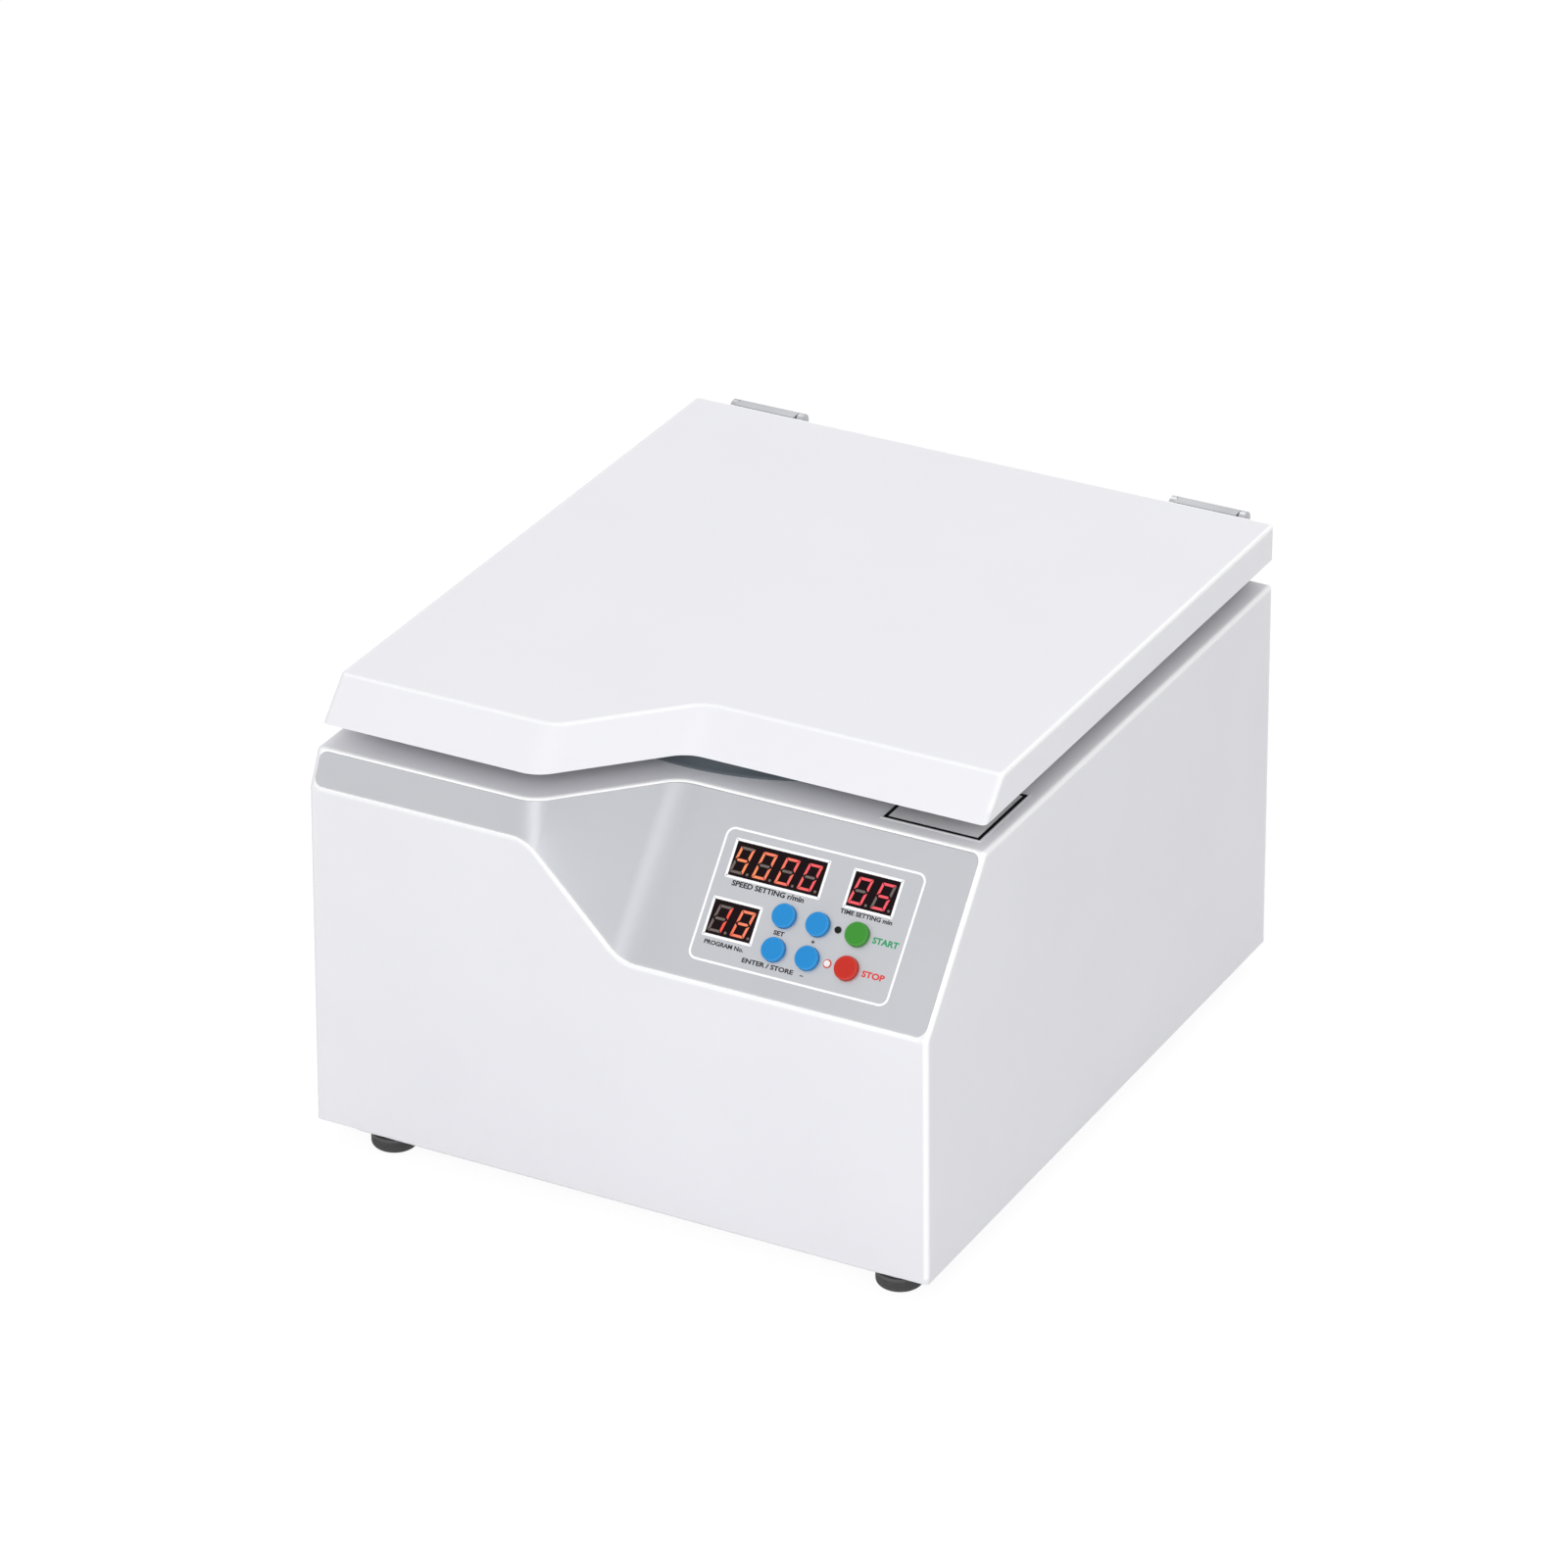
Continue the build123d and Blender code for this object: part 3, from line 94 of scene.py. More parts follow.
def calculate(tree, operation, first, second=None, clamp=False):
    """Output socket of a Math node fed with sockets or numbers."""
    node = add(tree, "ShaderNodeMath", operation=operation, use_clamp=clamp)
    for slot, value in enumerate((first, second)):
        if value is None:
            continue
        if isinstance(value, (int, float)):
            node.inputs[slot].default_value = value
        else:
            tree.links.new(value, node.inputs[slot])
    return node.outputs[0]


def noise(tree, vector, scale, detail=None):
    """Output socket of a noise texture. Its scale is a socket or a number."""
    node = add(tree, "ShaderNodeTexNoise")
    if detail is not None:
        node.inputs["Detail"].default_value = detail
    tree.links.new(vector, node.inputs["Vector"])
    if isinstance(scale, (int, float)):
        node.inputs["Scale"].default_value = scale
    else:
        tree.links.new(scale, node.inputs["Scale"])
    return node.outputs[0]


def make_moulded_grain():
    """Fine grain of moulded plastic, with slow clouds under it."""
    group, entry, leave = effect(
        "moulded grain",
        [
            ("Vector", "NodeSocketVector", (0, 0, 0)),
            ("Grain", "NodeSocketFloat", 1800.0),
            ("Clouds", "NodeSocketFloat", 14.0),
        ],
        [("Height", "NodeSocketFloat"), ("Cloud", "NodeSocketFloat")],
    )
    vector = entry.outputs["Vector"]
    fine = noise(group, vector, entry.outputs["Grain"], detail=3.0)
    slow = noise(group, vector, entry.outputs["Clouds"], detail=4.0)
    group.links.new(fine, leave.inputs["Height"])
    group.links.new(slow, leave.inputs["Cloud"])
    return group


def make_rounded_rim():
    """Mask for a painted highlight: 1 along outer edges, found by short rays inside the wall."""
    group, entry, leave = effect(
        "painted rim highlight",
        [
            ("Reach", "NodeSocketFloat", 0.002),
            ("Floor", "NodeSocketFloat", 0.0),
            ("Gain", "NodeSocketFloat", 5.0),
        ],
        [("Mask", "NodeSocketFloat")],
    )
    inside = add(group, "ShaderNodeAmbientOcclusion", inside=True, only_local=True, samples=6)
    group.links.new(entry.outputs["Reach"], inside.inputs["Distance"])
    gone = calculate(group, "SUBTRACT", 1.0, inside.outputs["AO"])
    above = calculate(group, "SUBTRACT", gone, entry.outputs["Floor"], clamp=True)
    mask = calculate(group, "MULTIPLY", above, entry.outputs["Gain"], clamp=True)
    group.links.new(mask, leave.inputs["Mask"])
    return group


def make_turned_lines():
    """Fine rings round the shaft, as a lathe or a spinning tool leaves them."""
    group, entry, leave = effect(
        "turned lines",
        [("Vector", "NodeSocketVector", (0, 0, 0)), ("Scale", "NodeSocketFloat", 900.0)],
        [("Height", "NodeSocketFloat"), ("Patch", "NodeSocketFloat")],
    )
    link = group.links.new
    vector = entry.outputs["Vector"]
    parts = add(group, "ShaderNodeSeparateXYZ")
    link(vector, parts.inputs[0])
    across = calculate(group, "POWER", parts.outputs[0], 2.0)
    along = calculate(group, "POWER", parts.outputs[1], 2.0)
    radius = calculate(group, "SQRT", calculate(group, "ADD", across, along))
    line = add(group, "ShaderNodeCombineXYZ")
    link(radius, line.inputs[0])
    link(parts.outputs[2], line.inputs[1])
    link(noise(group, line.outputs[0], entry.outputs["Scale"], detail=3.0), leave.inputs["Height"])
    link(noise(group, vector, 30.0), leave.inputs["Patch"])
    return group


def make_drawn_lines():
    """Fine straight lines along X, as on brushed sheet."""
    group, entry, leave = effect(
        "drawn lines",
        [("Vector", "NodeSocketVector", (0, 0, 0)), ("Scale", "NodeSocketFloat", 60.0)],
        [("Height", "NodeSocketFloat"), ("Patch", "NodeSocketFloat")],
    )
    link = group.links.new
    vector = entry.outputs["Vector"]
    stretch = add(group, "ShaderNodeVectorMath", operation="MULTIPLY")
    stretch.inputs[1].default_value = (1.0, 40.0, 40.0)
    link(vector, stretch.inputs[0])
    lines = noise(group, stretch.outputs[0], entry.outputs["Scale"], detail=2.0)
    link(lines, leave.inputs["Height"])
    link(noise(group, vector, 40.0), leave.inputs["Patch"])
    return group


moulded_grain = make_moulded_grain()
painted_rim_highlight = make_rounded_rim()
turned_lines = make_turned_lines()
drawn_lines = make_drawn_lines()


def finish(name):
    """New material with a Principled BSDF, and the object's own coordinates."""
    material = bpy.data.materials.new(name)
    material.use_nodes = True
    tree = material.node_tree
    tree.nodes.clear()
    output = add(tree, "ShaderNodeOutputMaterial")
    shader = add(tree, "ShaderNodeBsdfPrincipled")
    tree.links.new(shader.outputs[0], output.inputs["Surface"])
    place = add(tree, "ShaderNodeTexCoord")
    return material, tree, shader, place.outputs["Object"]


def use(tree, group, **values):
    """Places a shared effect in a material. Sockets are linked, numbers are set."""
    node = add(tree, "ShaderNodeGroup", node_tree=group)
    for name, value in values.items():
        if isinstance(value, (int, float)):
            node.inputs[name].default_value = value
        else:
            tree.links.new(value, node.inputs[name])
    return node.outputs


def blend_colour(tree, factor, first, second):
    """Colour mix of two colours or sockets by a factor socket."""
    mix = add(tree, "ShaderNodeMix", data_type="RGBA")
    for slot, value in ((0, factor), (6, first), (7, second)):
        if isinstance(value, tuple):
            mix.inputs[slot].default_value = (*value, 1.0)
        elif isinstance(value, (int, float)):
            mix.inputs[slot].default_value = value
        else:
            tree.links.new(value, mix.inputs[slot])
    return mix.outputs[2]


# Depth of all bumps in metres
BUMP_DEPTH = 0.0001


def raise_surface(tree, shader, height, strength):
    """Bump from a height socket into the shader's normal."""
    bump = add(tree, "ShaderNodeBump")
    bump.inputs["Strength"].default_value = strength
    bump.inputs["Distance"].default_value = BUMP_DEPTH
    tree.links.new(height, bump.inputs["Height"])
    tree.links.new(bump.outputs[0], shader.inputs["Normal"])


def map_range(tree, value, source, target=(0.0, 1.0)):
    """Brings a value socket from one range to another, and keeps it there."""
    node = add(tree, "ShaderNodeMapRange")
    names = ("From Min", "From Max", "To Min", "To Max")
    for name, end in zip(names, (*source, *target)):
        node.inputs[name].default_value = end
    tree.links.new(value, node.inputs["Value"])
    return node.outputs[0]


# Most values of a noise texture lie in this range
NOISE_RANGE = (0.3, 0.7)


def spread(tree, value, low, high):
    """Brings a noise value to the range low to high."""
    return map_range(tree, value, NOISE_RANGE, (low, high))


def ramp_along(tree, place, axis, low, high):
    """Rises from 0 to 1 between two places in mm along an axis."""
    parts = add(tree, "ShaderNodeSeparateXYZ")
    tree.links.new(place, parts.inputs[0])
    return map_range(tree, parts.outputs[axis], (low * MM, high * MM))


# Outputs of a Separate XYZ node
ALONG_X = 0
ALONG_Z = 2

# Distance in mm over which a rim's painted highlight fades in, and how much a plastic's roughness
# varies
RIM_RAMP = 2.0
PLASTIC_UNEVEN = 0.06


def plastic(
    name,
    colour,
    shade,
    rim,
    rough=0.45,
    grain=1800.0,
    bump=0.08,
    reach=0.002,
    gloss=0.5,
    floor=0.0,
    gain=5.0,
    rim_from=(),
    flake=0.0,
):
    """Moulded or painted finish: slow shade, fine grain, and a painted highlight on rounded edges.

    The painted highlights fade in past each place in mm of rim_from. Flake is the share of metallic
    pigment.
    """
    material, tree, shader, place = finish(name)
    grained = use(tree, moulded_grain, Vector=place, Grain=grain)
    body = blend_colour(tree, spread(tree, grained["Cloud"], 0.0, 1.0), shade, colour)
    # Painted highlight: the rim colour laid along rounded edges, where light would catch them
    edge = use(tree, painted_rim_highlight, Reach=reach, Floor=floor, Gain=gain)["Mask"]
    for axis, low in rim_from:
        fade = ramp_along(tree, place, axis, low, low + RIM_RAMP)
        edge = calculate(tree, "MULTIPLY", edge, fade)
    tree.links.new(blend_colour(tree, edge, body, rim), shader.inputs["Base Color"])
    uneven = spread(tree, grained["Height"], rough - PLASTIC_UNEVEN, rough + PLASTIC_UNEVEN)
    tree.links.new(uneven, shader.inputs["Roughness"])
    shader.inputs["Specular IOR Level"].default_value = gloss
    shader.inputs["Metallic"].default_value = flake
    raise_surface(tree, shader, grained["Height"], bump)
    return material


# Share of the shade in a metal's tool lines, and how far its roughness varies down and up
LINE_SHADE = 0.35
METAL_SMOOTHER = 0.08
METAL_ROUGHER = 0.1


def metal(name, colour, shade, lines, rough=0.3, scale=900.0, bump=0.06):
    """Bare metal with tool lines, its shade and gloss a little uneven."""
    material, tree, shader, place = finish(name)
    centre = add(tree, "ShaderNodeMapping")
    centre.inputs["Location"].default_value = (0, -SHAFT_Y * MM, 0)
    tree.links.new(place, centre.inputs["Vector"])
    worked = use(tree, lines, Vector=centre.outputs[0], Scale=scale)
    body = blend_colour(tree, spread(tree, worked["Patch"], 0.0, 1.0), shade, colour)
    lined = blend_colour(tree, spread(tree, worked["Height"], 0.0, LINE_SHADE), body, shade)
    tree.links.new(lined, shader.inputs["Base Color"])
    shader.inputs["Metallic"].default_value = 1.0
    uneven = spread(tree, worked["Height"], rough - METAL_SMOOTHER, rough + METAL_ROUGHER)
    tree.links.new(uneven, shader.inputs["Roughness"])
    raise_surface(tree, shader, worked["Height"], bump)
    return material


# Lit segments: strength, scale of their patches, how much these vary, and how much black is
# mixed into the colour that the lamps light
GLOW_STRENGTH = 0.92
GLOW_PATCHES = 260.0
GLOW_UNEVEN = 0.22
GLOW_DARKENED = 0.9


def glowing(name, left_colour, right_colour, left, right):
    """Lit display segments, from one colour to another between two places in mm along X."""
    material, tree, shader, place = finish(name)
    along = ramp_along(tree, place, ALONG_X, left, right)
    patches = spread(tree, noise(tree, place, GLOW_PATCHES), -GLOW_UNEVEN, GLOW_UNEVEN)
    both = calculate(tree, "ADD", along, patches, clamp=True)
    light = blend_colour(tree, both, left_colour, right_colour)
    tree.links.new(light, shader.inputs["Emission Color"])
    shader.inputs["Emission Strength"].default_value = GLOW_STRENGTH
    unlit = blend_colour(tree, GLOW_DARKENED, light, (0.0, 0.0, 0.0))
    tree.links.new(unlit, shader.inputs["Base Color"])
    shader.inputs["Roughness"].default_value = 0.5
    shader.inputs["Specular IOR Level"].default_value = 0.2
    return material


# The finishes. A plastic's three colours are its own, its shade and its rims' painted highlight.
# The two white shells have no painted highlight along their left and lower edges, where it would
# melt into the background
cabinet_paint = plastic(
    "cabinet white",
    (0.765, 0.765, 0.802),
    (0.746, 0.746, 0.783),
    (1.0, 1.0, 1.0),
    reach=0.0029,
    gloss=0.35,
    floor=0.05,
    gain=7.0,
    rim_from=((ALONG_X, -174.5), (ALONG_Z, 16.0)),
)
lid_paint = plastic(
    "lid white",
    (0.80, 0.80, 0.833),
    (0.786, 0.786, 0.823),
    (1.0, 1.0, 1.0),
    reach=0.0023,
    gloss=0.35,
    gain=6.0,
    rim_from=((ALONG_X, -173.0), (ALONG_Z, 246.0)),
)
# The lid's liner is kept a dark grey as painted shade, to deepen the gap under the lid
shaded_liner = plastic(
    "liner grey", (0.50, 0.50, 0.52), (0.47, 0.47, 0.49), (0.62, 0.62, 0.64), 0.4, gloss=0.35
)
film = plastic(
    "panel film",
    (0.564, 0.576, 0.604),
    (0.536, 0.548, 0.576),
    (0.65, 0.66, 0.69),
    rough=0.42,
    grain=3200.0,
    bump=0.22,
    reach=0.0003,
    flake=0.75,
)
black_face = plastic(
    "display face",
    (0.010, 0.005, 0.006),
    (0.007, 0.003, 0.004),
    (0.02, 0.012, 0.014),
    rough=0.4,
    bump=0.02,
    reach=0.0004,
    gloss=0.06,
)
dark_segment = plastic(
    "unlit segment",
    (0.150, 0.120, 0.108),
    (0.110, 0.088, 0.080),
    (0.16, 0.13, 0.12),
    rough=0.5,
    gloss=0.06,
)


def button_cap(name, colour, shade, rim):
    """Coloured cap with a soft, low gloss and a narrow painted highlight along its rim."""
    return plastic(name, colour, shade, rim, 0.42, reach=0.0006, gloss=0.12)


blue_cap = button_cap(
    "blue cap", (0.024, 0.256, 0.612), (0.020, 0.232, 0.570), (0.10, 0.40, 0.78)
)
green_cap = button_cap(
    "green cap", (0.050, 0.275, 0.038), (0.043, 0.245, 0.032), (0.14, 0.42, 0.11)
)
red_cap = button_cap(
    "red cap", (0.533, 0.032, 0.022), (0.490, 0.028, 0.019), (0.72, 0.12, 0.10)
)
board_green = plastic(
    "circuit board", (0.02, 0.12, 0.05), (0.015, 0.09, 0.04), (0.1, 0.2, 0.1), 0.3
)
black_plastic = plastic(
    "black plastic", (0.018, 0.018, 0.019), (0.012, 0.012, 0.013), (0.05, 0.05, 0.05), bump=0.2
)
foot_rubber = plastic(
    "foot rubber",
    (0.048, 0.048, 0.049),
    (0.036, 0.036, 0.037),
    (0.09, 0.09, 0.09),
    rough=0.7,
    grain=900.0,
    bump=0.3,
)
seal_rubber = plastic(
    "seal rubber",
    (0.075, 0.095, 0.110),
    (0.060, 0.078, 0.092),
    (0.12, 0.14, 0.16),
    rough=0.6,
    grain=1200.0,
    bump=0.25,
)
soft_black = plastic(
    "mount rubber",
    (0.03, 0.03, 0.03),
    (0.02, 0.02, 0.02),
    (0.06, 0.06, 0.06),
    rough=0.8,
    grain=700.0,
    bump=0.3,
)
pan_paint = plastic(
    "pan paint",
    (0.78, 0.78, 0.81),
    (0.74, 0.74, 0.77),
    (0.9, 0.9, 0.92),
    rough=0.5,
    grain=1400.0,
    bump=0.2,
    reach=0.0012,
)
rear_paint = plastic(
    "rear panel paint",
    (0.72, 0.72, 0.75),
    (0.68, 0.68, 0.71),
    (0.85, 0.85, 0.87),
    rough=0.5,
    grain=1400.0,
    bump=0.2,
    reach=0.001,
)
barrel_paint = plastic(
    "barrel primer", (0.10, 0.11, 0.12), (0.08, 0.085, 0.09), (0.16, 0.17, 0.18), 0.6
)
# The label's sheet is greyed as painted shade, for the lid's shadow that falls on it
shaded_label_sheet = plastic(
    "label sheet", (0.72, 0.72, 0.74), (0.70, 0.70, 0.72), (0.80, 0.80, 0.82), 0.35, reach=0.0002
)
white_ink = plastic(
    "white ink", (0.93, 0.93, 0.95), (0.90, 0.90, 0.92), (0.95, 0.95, 0.97), 0.5
)


def ink(name, colour, thin):
    """Matt print, a little uneven. Its thin colour is also the painted highlight along its edges.
    """
    return plastic(name, colour, thin, thin, 0.6, reach=0.0001, gloss=0.06)


black_ink = ink("black ink", (0.006, 0.006, 0.007), (0.009, 0.009, 0.010))
grey_ink = ink("grey ink", (0.022, 0.022, 0.026), (0.034, 0.034, 0.038))
green_ink = ink("green ink", (0.02, 0.27, 0.10), (0.03, 0.32, 0.13))
red_ink = ink("red ink", (0.62, 0.02, 0.02), (0.68, 0.05, 0.045))
rocker_plastic = plastic(
    "rocker red", (0.50, 0.02, 0.015), (0.45, 0.016, 0.012), (0.62, 0.06, 0.05), 0.25
)
bowl_steel = metal("spun steel", (0.60, 0.60, 0.61), (0.48, 0.48, 0.49), turned_lines, 0.28)
turned_aluminium = metal(
    "turned aluminium", (0.72, 0.73, 0.74), (0.60, 0.61, 0.62), turned_lines, 0.34
)
bucket_aluminium = metal(
    "bucket aluminium", (0.68, 0.69, 0.71), (0.58, 0.59, 0.61), drawn_lines, 0.36
)
bright_steel = metal("ground steel", (0.66, 0.66, 0.67), (0.52, 0.52, 0.53), drawn_lines, 0.22)
hinge_steel = metal("hinge steel", (0.51, 0.52, 0.54), (0.42, 0.43, 0.45), drawn_lines, 0.38)
dull_steel = metal("dull steel", (0.42, 0.40, 0.38), (0.30, 0.29, 0.28), drawn_lines, 0.5)
copper = metal(
    "wound copper",
    (0.62, 0.30, 0.16),
    (0.45, 0.20, 0.10),
    turned_lines,
    rough=0.4,
    scale=2500.0,
    bump=0.3,
)
brass = metal("contact brass", (0.72, 0.56, 0.28), (0.58, 0.44, 0.20), drawn_lines, 0.3)
speed_glow = glowing("speed segments", (1.0, 0.30, 0.12), (0.94, 0.11, 0.13), 52.0, 90.0)
time_glow = glowing("time segments", (0.95, 0.12, 0.14), (0.92, 0.10, 0.14), 112.0, 138.0)
program_glow = glowing("program segments", (0.98, 0.07, 0.05), (1.0, 0.26, 0.14), 50.0, 62.0)


BUCKET_NUMBERS = range(1, 5)


def dress(material, *names):
    """Gives CAD nodes a finish."""
    for name in names:
        mesh = nodes[name].data
        mesh.materials.clear()
        mesh.materials.append(material)


dress(cabinet_paint, "cabinet_shell")
dress(lid_paint, "lid_shell")
dress(shaded_liner, "lid_liner")
dress(film, "control_film")
dress(black_face, "speed_display", "time_display", "program_display")
dress(board_green, "control_board", "drive_board")
dress(blue_cap, "button_menu", "button_up", "button_enter", "button_down")
dress(green_cap, "button_start")
dress(red_cap, "button_stop")
dress(black_plastic, "key_switches", "board_spacers", "latch_housing")
dress(black_plastic, "power_inlet", "switch_frame")
dress(pan_paint, "base_pan")
dress(rear_paint, "rear_panel")
dress(foot_rubber, "rubber_feet")
dress(seal_rubber, "chamber_seal", "spindle_boot")
dress(soft_black, "vibration_mounts")
dress(barrel_paint, "guard_barrel")
dress(shaded_label_sheet, "deck_label")
dress(rocker_plastic, "power_rocker")
dress(bowl_steel, "chamber_bowl")
dress(turned_aluminium, "rotor_yoke", "motor_housing")
for number in BUCKET_NUMBERS:
    dress(bucket_aluminium, f"bucket_{number}")
    dress(soft_black, f"bucket_cushion_{number}")
dress(bright_steel, "rotor_nut", "motor_shaft", "trunnion_pins", "lid_striker", "latch_bolt")
dress(bright_steel, "motor_bearings", "case_screws", "liner_screws")
dress(bright_steel, "lid_leaf_screws", "fixed_leaf_screws")
dress(hinge_steel, "fixed_hinge_leaves", "lid_hinge_leaves", "hinge_pins")
dress(dull_steel, "motor_plate", "stator", "armature")
dress(copper, "latch_coil")
dress(brass, "inlet_pins")


# Height in mm between the two indicator lamps
LAMP_SPLIT = 182.0


def lamp_finish():
    """Black lens in the upper lamp. The lower one is pale, a painted highlight standing for the lit
    lamp.
    """
    material, tree, shader, place = finish("lamp lens")
    parts = add(tree, "ShaderNodeSeparateXYZ")
    tree.links.new(place, parts.inputs[0])
    lower = calculate(tree, "LESS_THAN", parts.outputs[ALONG_Z], LAMP_SPLIT * MM)
    grained = use(tree, moulded_grain, Vector=place, Grain=2400.0)
    dark = blend_colour(tree, grained["Cloud"], (0.008, 0.008, 0.008), (0.014, 0.014, 0.014))
    # The lower lens's pale colour is a painted highlight of the lit lamp
    painted_glint = blend_colour(tree, grained["Cloud"], (0.78, 0.74, 0.74), (0.84, 0.80, 0.80))
    tree.links.new(blend_colour(tree, lower, dark, painted_glint), shader.inputs["Base Color"])
    tree.links.new(spread(tree, grained["Height"], 0.28, 0.36), shader.inputs["Roughness"])
    shader.inputs["Specular IOR Level"].default_value = 0.1
    return material


dress(lamp_finish(), "indicator_lamps")


# Modelling helpers
def shape_of(name):
    """The object that an operator has just made, with its name on it and on its data."""
    piece = bpy.context.object
    piece.name = name
    piece.data.name = name
    return piece


def only(piece):
    """Selects one object and makes it active."""
    bpy.ops.object.select_all(action="DESELECT")
    piece.select_set(True)
    bpy.context.view_layer.objects.active = piece


def flat_blank(name, width, height):
    """Plane of a size in mm, lying at the origin."""
    bpy.ops.mesh.primitive_plane_add(size=MM)
    piece = shape_of(name)
    piece.scale = (width, height, 1)
    bpy.ops.object.transform_apply(location=False, rotation=False, scale=True)
    return piece


def thicken(amount):
    """Extrudes all of the mesh in edit mode upwards, and turns its faces outwards."""
    bpy.ops.mesh.select_all(action="SELECT")
    bpy.ops.mesh.extrude_region_move(TRANSFORM_OT_translate={"value": (0, 0, amount * MM)})
    bpy.ops.mesh.select_all(action="SELECT")
    bpy.ops.mesh.normals_make_consistent(inside=False)


def put(piece, matrix, material, body):
    """Moves a finished piece's mesh to its place, gives it its finish and its body."""
    piece.data.transform(matrix)
    piece.data.materials.clear()
    piece.data.materials.append(material)
    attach(piece, body)


# Thickness in mm of print on the film and of the displays' bars
PRINT = 0.06


def printed_frame(name, width, height, corner, line, steps, thickness=PRINT):
    """Flat ring, line mm wide, whose corners are rounded in so many steps."""
    piece = flat_blank(name, width, height)
    bpy.ops.object.mode_set(mode="EDIT")
    bpy.ops.mesh.select_all(action="SELECT")
    bpy.ops.mesh.bevel(offset=corner * MM, affect="VERTICES", segments=steps)
    bpy.ops.mesh.select_all(action="SELECT")
    bpy.ops.mesh.inset(thickness=line * MM)
    bpy.ops.mesh.delete(type="FACE")
    thicken(thickness)
    bpy.ops.object.mode_set(mode="OBJECT")
    return piece


# Depth of the letters in mm, how much their strokes are widened in units of the text's size,
# and half their depth in those units before they are flattened
LETTER_DEPTH = 0.03
LETTER_WEIGHT = 0.036
HALF_BLOCK = 0.5


def words(name, text, width, height):
    """Lettering as a thin mesh, centred on the origin and fitted to a width and height."""
    bpy.ops.object.text_add()
    piece = shape_of(name)
    piece.data.body = text
    piece.data.extrude = HALF_BLOCK
    piece.data.offset = LETTER_WEIGHT
    piece.data.resolution_u = 3
    only(piece)
    bpy.ops.object.convert(target="MESH")
    piece = shape_of(name)
    xs = [corner.co.x for corner in piece.data.vertices]
    ys = [corner.co.y for corner in piece.data.vertices]
    middle = ((min(xs) + max(xs)) / 2, (min(ys) + max(ys)) / 2, -HALF_BLOCK)
    fit_x = width * MM / (max(xs) - min(xs))
    fit_y = height * MM / (max(ys) - min(ys))
    centred = Matrix.Translation(-Vector(middle))
    piece.data.transform(Matrix.Diagonal((fit_x, fit_y, LETTER_DEPTH * MM, 1)) @ centred)
    return piece


def copy_of(piece, name, matrix):
    """Copy with its own mesh, moved in its mesh."""
    twin = piece.copy()
    twin.data = piece.data.copy()
    twin.name = name
    twin.data.transform(matrix)
    bpy.context.scene.collection.objects.link(twin)
    return twin


def joined(name, pieces):
    """Joins pieces into one, under a name."""
    bpy.ops.object.select_all(action="DESELECT")
    for piece in pieces:
        piece.select_set(True)
    bpy.context.view_layer.objects.active = pieces[0]
    bpy.ops.object.join()
    return shape_of(name)


# Seven-segment digits, in mm
DIGIT_HEIGHT = 14.2
DIGIT_WIDTH = 7.9
DIGIT_PITCH = 12.8
STROKE = 1.35
SEGMENT_GAP = 0.32
POINT_RADIUS = 0.75
# Sideways lean of the digits per height, the share of a stroke by which the uprights stop short
# of the middle, the share of half a stroke that is cut off the middle bar's corners, the distance
# in mm under which its corners merge, and the decimal point's place as a share of the pitch
SLANT = 0.19
MIDDLE_SHARE = 0.1
POINTED_SHARE = 0.98
MERGED = 0.05
POINT_SHARE = 0.39

LIT = {
    "0": "abcdef",
    "1": "bc",
    "4": "bcfg",
    "5": "acdfg",
    "8": "abcdefg",
}


def outer_segment(name, length):
    """Bar whose inner edge, on -Y, is cut back at 45 degrees on both ends."""
    piece = flat_blank(name, length, STROKE)
    bpy.ops.object.mode_set(mode="EDIT")
    bpy.ops.mesh.select_all(action="DESELECT")
    bpy.ops.object.mode_set(mode="OBJECT")
    for corner in piece.data.vertices:
        corner.select = corner.co.y < 0
    bpy.ops.object.mode_set(mode="EDIT")
    bpy.ops.mesh.select_mode(type="VERT")
    inner = (length - 2 * STROKE) / length
    bpy.ops.transform.resize(value=(inner, 1, 1), center_override=(0, 0, 0))
    thicken(PRINT)
    bpy.ops.object.mode_set(mode="OBJECT")
    return piece


def middle_segment(name, length):
    """Bar with both ends pointed."""
    piece = flat_blank(name, length, STROKE)
    bpy.ops.object.mode_set(mode="EDIT")
    bpy.ops.mesh.select_all(action="SELECT")
    bpy.ops.mesh.bevel(offset=STROKE * MM / 2 * POINTED_SHARE, affect="VERTICES", segments=1)
    bpy.ops.mesh.select_all(action="SELECT")
    bpy.ops.mesh.remove_doubles(threshold=MERGED * MM)
    thicken(PRINT)
    bpy.ops.object.mode_set(mode="OBJECT")
    return piece


def decimal_point():
    """Small disc beside a digit's foot."""
    bpy.ops.mesh.primitive_circle_add(vertices=20, radius=POINT_RADIUS * MM, fill_type="NGON")
    piece = shape_of("decimal_point")
    bpy.ops.object.mode_set(mode="EDIT")
    thicken(PRINT)
    bpy.ops.object.mode_set(mode="OBJECT")
    return piece


across = outer_segment("segment_across", DIGIT_WIDTH - 2 * SEGMENT_GAP)
middle_cut = STROKE * MIDDLE_SHARE
upright = outer_segment("segment_upright", DIGIT_HEIGHT / 2 - SEGMENT_GAP - middle_cut)
centre_bar = middle_segment("segment_middle", DIGIT_WIDTH - STROKE - 2 * SEGMENT_GAP)
point = decimal_point()

half_width = (DIGIT_WIDTH - STROKE) / 2
half_height = (DIGIT_HEIGHT - STROKE) / 2
upright_y = DIGIT_HEIGHT / 4 + middle_cut / 2

